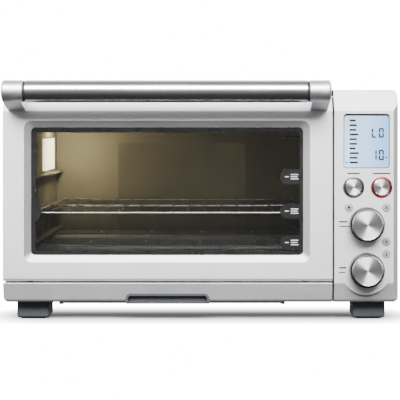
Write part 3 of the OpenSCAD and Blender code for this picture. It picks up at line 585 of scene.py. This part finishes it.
def window_loop(d, grow):
    radius = 5 * MM + grow * 0.53
    outline = rounded(GLASS_X0 - grow, GLASS_Z0 - grow, GLASS_X1 + grow, GLASS_Z1 + grow, radius)
    return at_depth(outline, d)


def door_shell():
    """Pressed door skin with a rolled rim and a bevel down to the window."""
    x0, x1 = door_lo.x, door_hi.x
    shell = run_x("door_shell", door_outline(0, DOOR_T), x0, x1)
    bevel(shell, 1.1 * MM, 3, 25)
    combine(shell, [run_x("hollow", door_outline(SKIN, DOOR_T + MM), x0 + SKIN, x1 - SKIN)])
    edge = BEVEL + 2 * MM
    ring = block("ring", (GLASS_X0 - edge, 0.4 * MM, GLASS_Z0 - edge),
                 (GLASS_X1 + edge, GLASS_D, GLASS_Z1 + edge))
    combine(shell, [ring], "UNION")
    steps = [
        (-0.6, 1.5), (0, 0.9), (0.12, 0.45), (0.35, 0.1), (0.7, -0.35),
        (BEVEL_D / MM - 0.2, -BEVEL / MM + 0.35), (BEVEL_D / MM + 0.1, -BEVEL / MM + 0.1), (7, -BEVEL / MM),
    ]
    hole = loft("hole", [window_loop(d * MM, BEVEL + grow * MM) for d, grow in steps])
    combine(shell, [hole])
    slot_half = 2.5 * MM
    rooms = [
        block("room", (x - slot_half, 1.7 * MM, Z_DOOR - MM), (x + slot_half, DOOR_T + MM, HINGE_Z + 4.3 * MM))
        for x in LUG_X
    ]
    combine(shell, rooms)
    smooth(shell, 24)
    return dress(shell, "door", "front_steel", STEEL, stands_for=["door_frame"])


def trim_strip():
    """Lower trim with the finger notch and its rolled edge."""
    x0, x1 = trim_lo.x, trim_hi.x
    outer = [(FRAME_D, Z_TRIM), (0, Z_TRIM)] + trim_curve(0) + [(FRAME_D, Z_BOT)]
    lean_in = SKIN * (math.tan(BETA) + 1 / math.cos(BETA))
    inner = (
        [(FRAME_D + MM, Z_TRIM - SKIN), (lean_in, Z_TRIM - SKIN)]
        + trim_curve(SKIN)
        + [(FRAME_D + MM, Z_BOT + SKIN)]
    )
    strip = run_x("trim_strip", outer, x0, x1)
    bevel(strip, 0.9 * MM, 3, 35)
    combine(strip, [
        run_x("hollow", inner, x0 + SKIN, x1 + MM),
        slab("notch",
             rounded(NOTCH_X - NOTCH_HALF, Z_BOT - 9 * MM, NOTCH_X + NOTCH_HALF, Z_BOT + NOTCH_H, NOTCH_R),
             -MM, FRAME_D + MM),
    ])
    keep = slab("keep", rounded(x0, Z_BOT, x1 + 0.03, Z_TRIM + 0.03, CORNER), -2 * MM, FRAME_D + MM)
    combine(strip, [keep], "INTERSECT")
    smooth(strip, 24)
    return dress(strip, "oven", "front_steel", STEEL, stands_for=["lower_trim"])


def notch_rim():
    """Dark moulded lining round the finger notch."""
    gap = 0.2 * MM
    rim_w = 2.6 * MM
    x0, x1 = NOTCH_X - NOTCH_HALF + gap, NOTCH_X + NOTCH_HALF - gap
    top = Z_BOT + NOTCH_H - gap
    outer = rounded(x0, Z_BOT - 8 * MM, x1, top, NOTCH_R - gap)
    inner = rounded(x0 + rim_w, Z_BOT - 12 * MM, x1 - rim_w, top - rim_w, NOTCH_R - rim_w)
    rim = slab("notch_rim", outer, 4.6 * MM, 9 * MM)
    combine(rim, [slab("in", inner, 4 * MM, 12 * MM)])
    combine(rim, [block("low", (x0 - MM, 0, Z_BOT - 9 * MM), (x1 + MM, 20 * MM, Z_BOT + 0.4 * MM))])
    bevel(rim, 0.3 * MM, 2)
    smooth(rim)
    return dress(rim, "oven", "dark_plastic", DARK)


# ---------------------------------------------------------------- control column
dial_lo, dial_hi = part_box("time_dial")
DIAL_X = (dial_lo.x + dial_hi.x) / 2
TIME_Z = (dial_lo.z + dial_hi.z) / 2
TEMP_Z = sum(corner.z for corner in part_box("temperature_dial")) / 2
DIAL_R = (dial_hi.z - dial_lo.z) / 2
DIAL_OUT = FACE - dial_lo.y
SHAFT_END = dial_hi.y - FACE
TONGUE_R = 30 * MM
SIDE_CUT = 6 * MM


def centre_of(node):
    lo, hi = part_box(node)
    return (lo.x + hi.x) / 2, (lo.z + hi.z) / 2


def column_outline(t, back):
    crease = (t, Z_TRIM + t * math.tan(BETA / 2))
    return [(back, Z_TOP - t)] + slope(t) + [crease] + trim_curve(t) + [(back, Z_BOT + t)]


def column_solid(name, t, back):
    """Body of the control column, moved inwards by t."""
    x0, x1 = panel_lo.x + t, panel_hi.x - t
    solid = run_x(name, column_outline(t, back), x0, x1)
    tongue = slab("tongue", circle(DIAL_X, TIME_Z, TONGUE_R - t), t, 9 * MM)
    combine(solid, [tongue], "UNION")
    outline = rounded(x0 - 0.03, Z_BOT + t, x1, Z_TOP - t, CORNER - t)
    plan = [
        (x0 - MM, -MM), (x1 - SIDE_CUT, -MM), (x1 - SIDE_CUT, t), (x1, SIDE_CUT + t),
        (x1, back + MM), (x0 - MM, back + MM),
    ]
    cutters = [slab("outline", outline, -2 * MM, back + 2 * MM), run_z("plan", plan, 0, Z_TOP + 0.02)]
    combine(solid, cutters, "INTERSECT")
    return solid


def column_shell():
    """Face of the control column with the display opening and the holes for its controls."""
    back = FRAME_D
    shell = column_solid("column_shell", 0, back)
    bevel(shell, 0.8 * MM, 3, 16)
    combine(shell, [column_solid("hollow", SKIN, back + MM)])
    lo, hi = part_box("display_window")
    gap = 0.1 * MM
    tools = [slab("opening", rounded(lo.x - gap, lo.z - gap, hi.x + gap, hi.z + gap, 4 * MM), -MM, 3 * MM)]
    holes = [(*centre_of(n), 10.5 * MM) for n in ("function_button", "start_button")]
    holes += [(*centre_of(n), 5 * MM) for n in ICON_BUTTONS]
    holes += [(DIAL_X, z, 4.7 * MM) for z in (TIME_Z, TEMP_Z)]
    tools += [slab("hole", circle(*hole, 48), -MM, 3 * MM) for hole in holes]
    combine(shell, tools)
    smooth(shell, 24)
    return dress(shell, "oven", "front_steel", STEEL, stands_for=["control_panel"])


ICON_BUTTONS = ("lamp_button", "convection_button", "frozen_button", "unit_button")


def turned(name, x, z, profile, body, slot_name, *mats, n=96, stands_for=(), face_r=None):
    """Lathe-turned control about an axis out of the face at (x, z); faces inside face_r take mats[1]."""
    obj = lathe(name, (x, FACE, z), (0, -1, 0), profile, n)
    dress(obj, body, slot_name, *mats, stands_for=stands_for)
    if face_r:
        reach = max(h for r, h in profile)
        for face in obj.data.polygons:
            spot = face.center
            r = math.hypot(spot.x - x, spot.z - z)
            out = FACE - spot.y
            if len(mats) > 2 and face_r <= r and out > reach - 4.2 * MM:
                face.material_index = 2
            if r < face_r and out > reach - 1.5 * MM:
                face.material_index = 1
    smooth(obj, 30)
    return obj


def dial(name, node, body, z):
    """Dial: sleeve coloured near black as painted shade and dark reflection, bright chamfered rim and a spun face
    with its shaft behind.
    """
    out = DIAL_OUT
    profile = [
        (0, -SHAFT_END), (3 * MM, -SHAFT_END), (3 * MM, 0.8 * MM), (DIAL_R - 0.4 * MM, 0.8 * MM),
        (DIAL_R, 1.2 * MM), (DIAL_R, out - 5.6 * MM), (DIAL_R - 0.3 * MM, out - 5.2 * MM),
        (DIAL_R - 1.5 * MM, out - 4.9 * MM), (DIAL_R - 1.55 * MM, out - 3.0 * MM),
        (DIAL_R - 1.7 * MM, out - 1.7 * MM), (DIAL_R - 2.9 * MM, out - 0.25 * MM),
        (DIAL_R - 3.3 * MM, out), (DIAL_R - 3.6 * MM, out - 0.1 * MM), (DIAL_R - 3.9 * MM, out - 0.45 * MM),
        (0, out - 0.45 * MM),
    ]
    face = spun(name + "_face", DIAL_X, z)
    return turned(name, DIAL_X, z, profile, body, "dial_metal", PAINTED_SHADE_SLEEVE, face, SATIN,
                  stands_for=[node], face_r=DIAL_R - 3.8 * MM)


def big_button(name, node, body):
    """Push button with a spun cap, its flange and stem behind the panel."""
    x, z = centre_of(node)
    lo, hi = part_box(node)
    out, end = FACE - lo.y, hi.y - FACE
    r = 10 * MM
    profile = [
        (0, -end), (2 * MM, -end), (2 * MM, -3.4 * MM), (12 * MM, -3.4 * MM), (12 * MM, -1.5 * MM),
        (r, -1.5 * MM), (r, out - 0.9 * MM), (r - 0.3 * MM, out - 0.35 * MM), (r - 0.9 * MM, out),
        (r - 1.3 * MM, out - 0.15 * MM), (0, out - 0.3 * MM),
    ]
    return turned(name, x, z, profile, body, "dial_metal", SATIN, spun(name + "_face", x, z),
                  stands_for=[node], face_r=r - 1.2 * MM)


def button_ring(name, node, mat):
    """Raised bezel ring round a large button."""
    x, z = centre_of(node)
    inner, outer, out = 10.3 * MM, 12.7 * MM, 1.5 * MM
    profile = [
        (inner, 0.02 * MM), (outer, 0.02 * MM), (outer, 0.7 * MM), (outer - 0.4 * MM, 1.25 * MM),
        (outer - 1.0 * MM, out), (inner + 0.6 * MM, out), (inner + 0.15 * MM, 1.2 * MM), (inner, 0.8 * MM),
        (inner, 0.02 * MM),
    ]
    return turned(name, x, z, profile, "oven", "ring_metal", mat)


def small_button(node, body):
    """Icon button with a softly domed cap."""
    x, z = centre_of(node)
    lo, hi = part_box(node)
    out, end = FACE - lo.y, hi.y - FACE
    r = 4.7 * MM
    profile = [
        (0, -end), (2 * MM, -end), (2 * MM, -3.4 * MM), (5.7 * MM, -3.4 * MM), (5.7 * MM, -1.5 * MM),
        (r, -1.5 * MM), (r, out - 0.6 * MM), (r - 0.25 * MM, out - 0.2 * MM), (r - 0.7 * MM, out - 0.02 * MM),
        (r * 0.5, out - 0.01 * MM), (0, out),
    ]
    return turned(node + "_cap", x, z, profile, body, "icon_grey", GREY, n=48, stands_for=[node])


# ---------------------------------------------------------------- small marks on faces
def marks(name, outlines, d, thick, body, slot_name, mat):
    """Thin raised marks in one piece; each outline is a list of (x, z) points."""
    parts = [slab(name, outline, d - thick, d) for outline in outlines]
    return dress(join(name, parts), body, slot_name, mat)


def bar(x0, x1, z, h):
    return [(x0, z - h / 2), (x1, z - h / 2), (x1, z + h / 2), (x0, z + h / 2)]


def stroke(x, z, angle, length, width):
    """Bar of the given length centred at (x, z), turned by angle."""
    a = math.radians(angle)
    c, s = math.cos(a), math.sin(a)
    ends = [(-length / 2, -width / 2), (length / 2, -width / 2),
            (length / 2, width / 2), (-length / 2, width / 2)]
    return [(x + u * c - v * s, z + u * s + v * c) for u, v in ends]


SEGMENTS = {"L": "def", "0": "abcdef", "1": "bc"}


def digit(char, x0, x1, z0, z1, w):
    """Seven-segment figure in the given box, with segments of width w."""
    mid = (z0 + z1) / 2
    half = w / 2
    places = {
        "a": bar(x0 + half, x1 - half, z1 - half, w), "g": bar(x0 + half, x1 - half, mid, w),
        "d": bar(x0 + half, x1 - half, z0 + half, w),
        "b": [(x1 - w, mid + w / 4), (x1, mid + w / 4), (x1, z1 - half), (x1 - w, z1 - half)],
        "c": [(x1 - w, z0 + half), (x1, z0 + half), (x1, mid - w / 4), (x1 - w, mid - w / 4)],
        "f": [(x0, mid + w / 4), (x0 + w, mid + w / 4), (x0 + w, z1 - half), (x0, z1 - half)],
        "e": [(x0, z0 + half), (x0 + w, z0 + half), (x0 + w, mid - w / 4), (x0, mid - w / 4)],
    }
    return [places[key] for key in SEGMENTS[char]]


# ---------------------------------------------------------------- display
def display():
    """Lit display face behind its edge, with bars for the text rows and two seven-segment readings."""
    lo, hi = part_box("display_window")
    x0, x1, z0, z1 = lo.x, hi.x, lo.z, hi.z
    d_face = 1.1 * MM
    face = slab("display_face", rounded(x0, z0, x1, z1, 3.9 * MM), d_face, hi.y - FACE)
    bevel(face, 0.15 * MM, 2)
    smooth(face)
    lit = display_panel(x0, x1)
    dress(face, "oven", "display_face", lit, stands_for=["display_window"])
    # Dark print round the lit face; the wider band along its top is painted shadow of the opening's upper edge.
    border = slab("display_border_and_shadow",
                  rounded(x0 + 0.1 * MM, z0 + 0.1 * MM, x1 - 0.1 * MM, z1 - 0.1 * MM, 3.8 * MM),
                  d_face - 0.25 * MM, d_face - 0.01 * MM)
    inside = rounded(x0 + 0.9 * MM, z0 + 0.9 * MM, x1 - 0.9 * MM, z1 - 2.4 * MM, 3 * MM)
    combine(border, [slab("inside", inside, 0, 2 * MM)])
    dress(border, "oven", "display_face", INK)
    left = x0 + 7.2 * MM
    rows = [bar(left, left + w * MM, z1 - (8.2 + 5.53 * k) * MM, 2.3 * MM)
            for k, w in enumerate([7.5, 8.5, 8, 10.5, 8.5, 9, 7, 11, 9.5, 10])]
    rows.append([(left - 4.2 * MM, z1 - 56.6 * MM), (left - 4.2 * MM, z1 - 59.4 * MM),
                 (left - 1.6 * MM, z1 - 58 * MM)])
    marks("display_rows", rows, d_face - 0.02 * MM, 0.1 * MM, "oven", "display_face", INK)
    figures = []
    for text, base, height, width in (("L0", 28.7, 11.7, 6.0), ("10", 55.5, 12.7, 6.0)):
        for k, char in enumerate(text):
            start = x0 + (33.5 + 8.4 * k) * MM
            z = z1 - base * MM
            figures += digit(char, start, start + width * MM, z, z + height * MM, 1.8 * MM)
    figures.append(bar(x0 + 52 * MM - 2.6 * MM, x0 + 52 * MM, z1 - 52 * MM, 1.2 * MM))
    marks("display_figures", figures, d_face - 0.02 * MM, 0.1 * MM, "oven", "display_face", INK)


# ---------------------------------------------------------------- printed marks
def icons():
    """Generic glyphs on the icon buttons: bulb, fan, frost star and thermometer."""
    caps = {node: centre_of(node) for node in ICON_BUTTONS}
    out = 1.2 * MM
    x, z = caps["lamp_button"]
    bulb = [circle(x, z + 0.5 * MM, 1.5 * MM, 20), bar(x - 0.7 * MM, x + 0.7 * MM, z - 1.7 * MM, 1.1 * MM)]
    x, z = caps["convection_button"]
    fan = [stroke(x + 1.1 * MM * math.cos(math.radians(a)), z + 1.1 * MM * math.sin(math.radians(a)),
                  a + 25, 2.1 * MM, 1.0 * MM) for a in (90, 210, 330)]
    x, z = caps["frozen_button"]
    star = [stroke(x, z, a, 4.6 * MM, 0.55 * MM) for a in (0, 60, 120)]
    x, z = caps["unit_button"]
    stem = [circle(x, z - 1.2 * MM, 1.1 * MM, 16), bar(x - 0.4 * MM, x + 0.4 * MM, z + 0.8 * MM, 3 * MM)]
    drawn = zip(ICON_BUTTONS, (bulb, fan, star, stem), ("lamp_key", "convection_key", "frozen_key", "unit_key"))
    for node, outlines, body in drawn:
        marks(node + "_glyph", outlines, -out + 0.02 * MM, 0.12 * MM, body, "icon_grey", INK)


def labels():
    """Plain bars where the controls are labelled."""
    function_x, button_z = centre_of("function_button")
    start_x = centre_of("start_button")[0]
    left = panel_lo.x + 5.4 * MM
    spots = [
        (function_x - 7.6 * MM, function_x + 7.6 * MM, button_z + 16.2 * MM, 1.6 * MM),
        (start_x - 10.5 * MM, start_x + 10.5 * MM, button_z + 16.2 * MM, 1.6 * MM),
        (left, left + 10 * MM, TEMP_Z + 2.6 * MM, 1.7 * MM),
        (left, left + 12.4 * MM, TEMP_Z - 2.8 * MM, 1.3 * MM),
        (left, left + 8.8 * MM, TIME_Z + 2.0 * MM, 1.7 * MM),
        (left, left + 7.6 * MM, TIME_Z - 3.4 * MM, 1.3 * MM),
    ]
    marks("control_labels", [bar(*spot) for spot in spots], 0.0, 0.06 * MM, "oven", "dark_plastic", INK)


# Heights of the printed rack-level marks on the glass, in metres.
LEVELS = [0.1721, 0.1312, 0.0938]


def glass_print():
    """Black border printed on the glass, with the half-round rack marks."""
    d, thick = GLASS_D - 0.06 * MM, 0.12 * MM
    gap = 0.05 * MM
    x0, x1, z0, z1 = GLASS_X0 + gap, GLASS_X1 - gap, GLASS_Z0 + gap, GLASS_Z1 - gap
    border = slab("border", rounded(x0, z0, x1, z1, 5 * MM), d - thick, d)
    clear = rounded(x0 + 5.2 * MM, z0 + 4.9 * MM, x1 - 3.6 * MM, z1 - 4.9 * MM, 4 * MM)
    combine(border, [slab("clear", clear, d - MM, d + MM)])
    parts = []
    rack_mid = (rack_lo.z + rack_hi.z) / 2
    half = 9 * MM
    for z in LEVELS:
        cx = x1 - 18.4 * MM
        outline = arc(cx, z, half, 90, 270, 16) + [(x1 - 2 * MM, z - half), (x1 - 2 * MM, z + half)]
        parts.append(slab("mark", outline, d - thick, d))
    cx = x0 + 5 * MM
    bump = arc(cx, rack_mid + 3 * MM, 13 * MM, -90, 90, 16)
    squeezed = [(cx + (x - cx) * 0.5, z) for x, z in bump]
    squeezed += [(x0 + MM, rack_mid + 16 * MM), (x0 + MM, rack_mid - 10 * MM)]
    parts.append(slab("bump", squeezed, d - thick, d))
    combine(border, parts, "UNION")
    dress(border, "door", "dark_plastic", FRIT)
    lines = []
    for z in LEVELS:
        right = x1 - 4.5 * MM
        lines.append(bar(right - 17 * MM, right - 12.5 * MM, z, 0.9 * MM))
        lines += [bar(right - 10 * MM, right - (1 + j % 2) * MM, z + (2.6 - 2.6 * j) * MM, 0.9 * MM)
                  for j in range(3)]
    marks("glass_print_lines", lines, d - thick - 0.01 * MM, 0.05 * MM, "door", "dark_plastic", PALE_INK)


# ---------------------------------------------------------------- handle
bar_lo, bar_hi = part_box("handle_bar")
HANDLE_R = (bar_hi.z - bar_lo.z) / 2
HANDLE_Y = (bar_lo.y + bar_hi.y) / 2
HANDLE_Z = (bar_lo.z + bar_hi.z) / 2


def along_x(name, x, profile, n=96):
    """Lathe about the handle axis; profile heights run from x along +X."""
    return lathe(name, (x, HANDLE_Y, HANDLE_Z), (1, 0, 0), profile, n)


def handle():
    length = bar_hi.x - bar_lo.x
    r = HANDLE_R
    tube = along_x("handle_tube", bar_lo.x, [
        (0, 0), (r - 0.5 * MM, 0), (r - 0.12 * MM, 0.12 * MM), (r, 0.5 * MM),
        (r, length - 0.5 * MM), (r - 0.12 * MM, length - 0.12 * MM), (r - 0.5 * MM, length), (0, length)])
    smooth(tube)
    dress(tube, "door", "handle_satin", SATIN, stands_for=["handle_bar"])
    lo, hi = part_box("handle_collars")
    width = bar_lo.x - lo.x
    for k, x in enumerate((lo.x, hi.x - width)):
        c = r - 0.8 * MM
        collar = along_x(f"handle_collar_{k}", x, [
            (0, 0), (c, 0), (c, 0.9 * MM), (c - 0.5 * MM, 1.2 * MM), (c - 0.5 * MM, width - 1.2 * MM),
            (c, width - 0.9 * MM), (c, width), (0, width)], 64)
        smooth(collar)
        dress(collar, "door", "dark_plastic", BLACK, stands_for=["handle_collars"] if k == 0 else ())


def handle_bracket(name, node, outwards):
    """Cast end of the handle: cap with a stepped end, and a web down to the crease of the door."""
    lo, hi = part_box(node)
    width = hi.x - lo.x
    r = HANDLE_R
    end = [(0, 0), (r - 5 * MM, 0), (r - 4.6 * MM, 0.5 * MM), (r - 2.6 * MM, 0.6 * MM),
           (r - 1.1 * MM, 1.1 * MM),
           (r - 0.2 * MM, 2.3 * MM), (r, 3.4 * MM), (r, width - 0.6 * MM), (r - 0.5 * MM, width), (0, width)]
    if outwards > 0:
        end = [(radius, width - h) for radius, h in reversed(end)]
    cap = along_x(name, lo.x, end)
    d0 = HANDLE_Y - FACE
    web = [
        (d0 - 2 * MM, HANDLE_Z - r + 0.8 * MM), (0, Z_CREASE), (0.7 * SLOPE_BACK, Z_CREASE + 0.7 * SLOPE_H),
        (d0 + 6 * MM, HANDLE_Z + r - 1.8 * MM),
    ]
    inset = (1 * MM, 3 * MM) if outwards < 0 else (3 * MM, 1 * MM)
    arm = run_x("web", web, lo.x + inset[0], hi.x - inset[1])
    bevel(arm, 1.4 * MM, 3)
    combine(cap, [arm], "UNION")
    smooth(cap, 28)
    return dress(cap, "door", "handle_satin", CAST, stands_for=[node])


# ---------------------------------------------------------------- rack, feet and tray
def rack():
    """Chromed rack: bent outer frame, rods over it with their ends turned down, and a cross wire."""
    r = 1.5 * MM
    lo, hi = rack_lo, rack_hi
    z = lo.z + r
    x0, x1, y0, y1 = lo.x + r, hi.x - r, lo.y + r, hi.y - r
    rim = wire("rim", [(x0, y0, z), (x1, y0, z), (x1, y1, z), (x0, y1, z)], r, True, 9 * MM)
    parts = [rim, wire("cross", [(x0, (y0 + y1) / 2, z), (x1, (y0 + y1) / 2, z)], r * 0.9)]
    pitch = 20.46 * MM
    top = hi.z - 1.3 * MM
    count = int((hi.x - lo.x - 20 * MM) / pitch / 2)
    for i in range(-count, count + 1):
        x = (lo.x + hi.x) / 2 + i * pitch
        parts.append(wire("rod", [(x, y0 - 0.6 * MM, z + MM), (x, y0 + 2 * MM, top), (x, y1 - 2 * MM, top),
                                  (x, y1 + 0.6 * MM, z + MM)], 1.25 * MM, turn=2 * MM))
    return dress(join("rack_wires", parts), "rack", "rack_chrome", CHROME, stands_for=["wire_rack"])


def feet(name, node, slot_name):
    """Two moulded feet with rounded lower edges and a rubber pad."""
    lo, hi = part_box(node)
    width = 39 * MM
    pad = 1.2 * MM
    for k, x in enumerate((lo.x, hi.x - width)):
        body = block(f"{name}_{k}", (x, lo.y - FACE, pad), (x + width, hi.y - FACE, hi.z))
        bevel(body, 3 * MM, 4, 60)
        smooth(body)
        dress(body, "oven", slot_name, DARK, stands_for=[node] if k == 0 else ())
        sole = slab(f"{name}_pad_{k}", rounded(x + 5 * MM, 0, x + width - 5 * MM, pad + 0.2 * MM, 0.5 * MM, 2),
                    lo.y - FACE + 5 * MM, hi.y - FACE - 5 * MM)
        dress(sole, "oven", "gland_rubber", RUBBER)


# ---------------------------------------------------------------- finishes of the CAD nodes that stay
FINISH = {
    STEEL_WRAP: ["outer_casing"],
    STEEL_DULL: ["base_plate", "heat_partition", "lamp_holder", "tray_rails", "door_inner_panel",
                 "crumb_tray", "door_stay_arms"],
    # The dark back coat on front_frame is partly its own paint and partly painted shade for the gap between door
    # and trim.
    BACK_COAT: ["rear_panel", "front_frame"],
    CAVITY: ["oven_cavity", "cavity_back", "rack_rails", "fan_cover"],
    CHROME: ["casing_screws", "rear_screws", "handle_screws", "hinge_pins", "hinge_springs",
             "temperature_probe", "fan_impeller"],
    DARK: ["rear_spacers", "tray_grip", "display_module", "dial_encoders"],
    MOTOR: ["element_guards", "fan_motor", "glass_retainers", "rack_magnets"],
    GLASS: ["door_glass"],
    LAMP: ["lamp_lens", "lamp_bulb"],
    QUARTZ: ["upper_heating_tubes", "lower_heating_tubes"],
    CERAMIC: ["ceramic_ends", "thermal_fuse"],
    RUBBER: ["cord_gland"],
    BOARD: ["control_board", "power_board"],
}


def finish_nodes():
    for mat, names in FINISH.items():
        for name in names:
            for material_slot in NODES[name].material_slots:
                material_slot.material = mat


# ---------------------------------------------------------------- studio
def area_light(name, place, target, size, power, color=(1, 1, 1)):
    data = bpy.data.lights.new(name, "AREA")
    data.shape = "RECTANGLE"
    data.size, data.size_y = size
    data.energy = power
    data.color = color
    obj = bpy.data.objects.new(name, data)
    bpy.context.scene.collection.objects.link(obj)
    obj.location = place
    obj.rotation_euler = (Vector(target) - Vector(place)).to_track_quat("-Z", "Y").to_euler()
    obj.visible_camera = False
    return obj


def sky():
    """Studio surround: white to the camera, otherwise bright above and behind and dark below."""
    world = bpy.data.worlds.new("studio")
    bpy.context.scene.world = world
    world.use_nodes = True
    tree = world.node_tree
    back = tree.nodes["Background"]

    def node(kind, **settings):
        made = tree.nodes.new(kind)
        for key, value in settings.items():
            setattr(made, key, value)
        return made

    def ramp(value, low, high, stops):
        span = node("ShaderNodeMapRange")
        span.inputs["From Min"].default_value, span.inputs["From Max"].default_value = low, high
        tree.links.new(value, span.inputs["Value"])
        made = node("ShaderNodeValToRGB")
        band = made.color_ramp
        while len(band.elements) < len(stops):
            band.elements.new(0.5)
        for element, (place, level) in zip(band.elements, stops):
            element.position = (place - low) / (high - low)
            element.color = (level, level, level, 1)
        tree.links.new(span.outputs["Result"], made.inputs["Fac"])
        return made.outputs["Color"]

    def maths(operation, a, b):
        made = node("ShaderNodeMath", operation=operation)
        for socket, side in zip(made.inputs, (a, b)):
            if isinstance(side, (int, float)):
                socket.default_value = side
            else:
                tree.links.new(side, socket)
        return made.outputs["Value"]

    split = node("ShaderNodeSeparateXYZ")
    tree.links.new(node("ShaderNodeTexCoord").outputs["Generated"], split.inputs["Vector"])
    height = split.outputs["Z"]
    front = ramp(height, -1, 1, SKY_FRONT)
    rear = ramp(height, -1, 1, SKY_REAR)
    behind = ramp(split.outputs["Y"], -1, 1, [(-0.3, 0.0), (0.3, 1.0)])
    share = node("ShaderNodeMix", data_type="RGBA")
    for socket in share.inputs:
        if socket.name == "Factor" and socket.type == "VALUE":
            tree.links.new(behind, socket)
    rgba = [socket for socket in share.inputs if socket.type == "RGBA"]
    tree.links.new(front, rgba[0])
    tree.links.new(rear, rgba[1])
    level = maths("MULTIPLY", next(o for o in share.outputs if o.type == "RGBA"), SKY_SCALE)
    seen = node("ShaderNodeLightPath").outputs["Is Camera Ray"]
    total = maths("ADD", maths("MULTIPLY", seen, WHITE), maths("MULTIPLY", maths("SUBTRACT", 1.0, seen), level))
    tree.links.new(total, back.inputs["Strength"])
    back.inputs["Color"].default_value = (1, 1, 1, 1)


WHITE = 18.0
SKY_SCALE = 4.0
# Height of the direction (-1 straight down, 1 straight up) and its share of SKY_SCALE
SKY_FRONT = [(-1, 0.01), (-0.6, 0.015), (-0.3, 0.04), (0, 0.06),
             (0.25, 0.12), (0.5, 0.2), (0.85, 0.25), (1, 0.06)]
SKY_REAR = [(-1, 0.01), (-0.4, 0.02), (-0.05, 0.1), (0.1, 0.5), (0.6, 0.7), (0.8, 0.4), (1, 0.08)]


def floor():
    """Pale floor with a painted glow that lights nothing: it takes the contact shadow in a band under the front
    and is painted white away from it, under the oven too.
    """
    obj = new_mesh("floor", [(-4, -3, 0), (4, -3, 0), (4, 6, 0), (-4, 6, 0)], [(0, 1, 2, 3)])
    obj.location.z = -0.0003
    made = Shader("floor", (0.9, 0.9, 0.9), 0.0, 0.9)
    split = made.node("ShaderNodeSeparateXYZ")
    made.link(made.place(), split.inputs["Vector"])
    # Painted light: emission rises to white with distance from a band under the front of the oven.
    across = made.math("MAXIMUM", made.math("SUBTRACT", made.math("ABSOLUTE", split.outputs["X"]), 0.2), 0.0)
    along = made.math("ADD", split.outputs["Y"], 0.097)
    far = made.math("SQRT", made.math("ADD", *[made.math("MULTIPLY", side, side) for side in (across, along)]))
    rise = made.math("POWER", made.math("MINIMUM", made.math("MULTIPLY", far, 12.5), 1.0), 3.5)
    painted_glow_level = made.math("ADD", made.math("MULTIPLY", rise, WHITE), 0.1)
    made.link(painted_glow_level, made.bsdf.inputs["Emission Strength"])
    made.bsdf.inputs["Emission Color"].default_value = (1, 1, 1, 1)
    obj.data.materials.append(made.mat)
    obj.visible_glossy = obj.visible_diffuse = obj.visible_transmission = False


def softbox(name, azimuth, height, distance, size, level, color=(1, 1, 1)):
    """Area light seen from the oven at these angles; level is its brightness."""
    middle = Vector((0, -0.1, 0.16))
    azimuth, height = math.radians(azimuth), math.radians(height)
    flat = math.cos(height)
    way = Vector((math.sin(azimuth) * flat, -math.cos(azimuth) * flat, math.sin(height)))
    area_light(name, middle + way * distance, middle, size, level * math.pi * size[0] * size[1], color)


def studio():
    sky()
    floor()
    softbox("key", -6, 39, 1.7, (2.0, 0.8), 23.0)
    softbox("left", -62, 22, 1.9, (0.9, 0.8), 1.2)
    softbox("rear", 170, 40, 2.0, (2.0, 0.7), 3.0)
    lamp_lo, lamp_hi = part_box("lamp_lens")
    middle = (lamp_lo + lamp_hi) / 2
    lamp = bpy.data.lights.new("oven_lamp", "POINT")
    lamp.energy, lamp.shadow_soft_size, lamp.color = 1.2, 12 * MM, (1.0, 0.86, 0.52)
    bulb = bpy.data.objects.new("oven_lamp", lamp)
    bpy.context.scene.collection.objects.link(bulb)
    bulb.location = (lamp_hi.x + 24 * MM, middle.y + 12 * MM, middle.z + 8 * MM)
    bulb.visible_camera = bulb.visible_transmission = bulb.visible_glossy = False


def camera():
    """Straight front view from 1.5 m, a little to the right of the middle and level with the handle."""
    data = bpy.data.cameras.new("camera")
    data.sensor_width = 36
    data.lens = 113.8
    data.shift_x, data.shift_y = -0.0375, -0.1875
    data.clip_start, data.clip_end = 0.05, 30
    obj = bpy.data.objects.new("camera", data)
    bpy.context.scene.collection.objects.link(obj)
    obj.location = (17 * MM, FACE - 1.5, 233.7 * MM)
    obj.rotation_euler = (math.radians(90), 0, 0)
    bpy.context.scene.camera = obj


camera()
studio()
finish_nodes()
door_shell()
trim_strip()
notch_rim()
column_shell()
dial("temperature_knob_part", "temperature_dial", "temperature_knob", TEMP_Z)
dial("time_knob_part", "time_dial", "time_knob", TIME_Z)
big_button("function_cap", "function_button", "function_key")
big_button("start_cap", "start_button", "start_key")
ring_dark = button_ring("function_ring", "function_button", RING_DARK)
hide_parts("button_rings")
button_ring("start_ring", "start_button", RING_RED)
for node, body in zip(ICON_BUTTONS, ("lamp_key", "convection_key", "frozen_key", "unit_key")):
    small_button(node, body)
icons()
labels()
display()
glass_print()
handle()
handle_bracket("handle_end_left", "left_handle_bracket", -1)
handle_bracket("handle_end_right", "right_handle_bracket", 1)
rack()
feet("front_foot", "front_feet", "dark_plastic")
feet("rear_foot", "rear_feet", "dark_plastic")
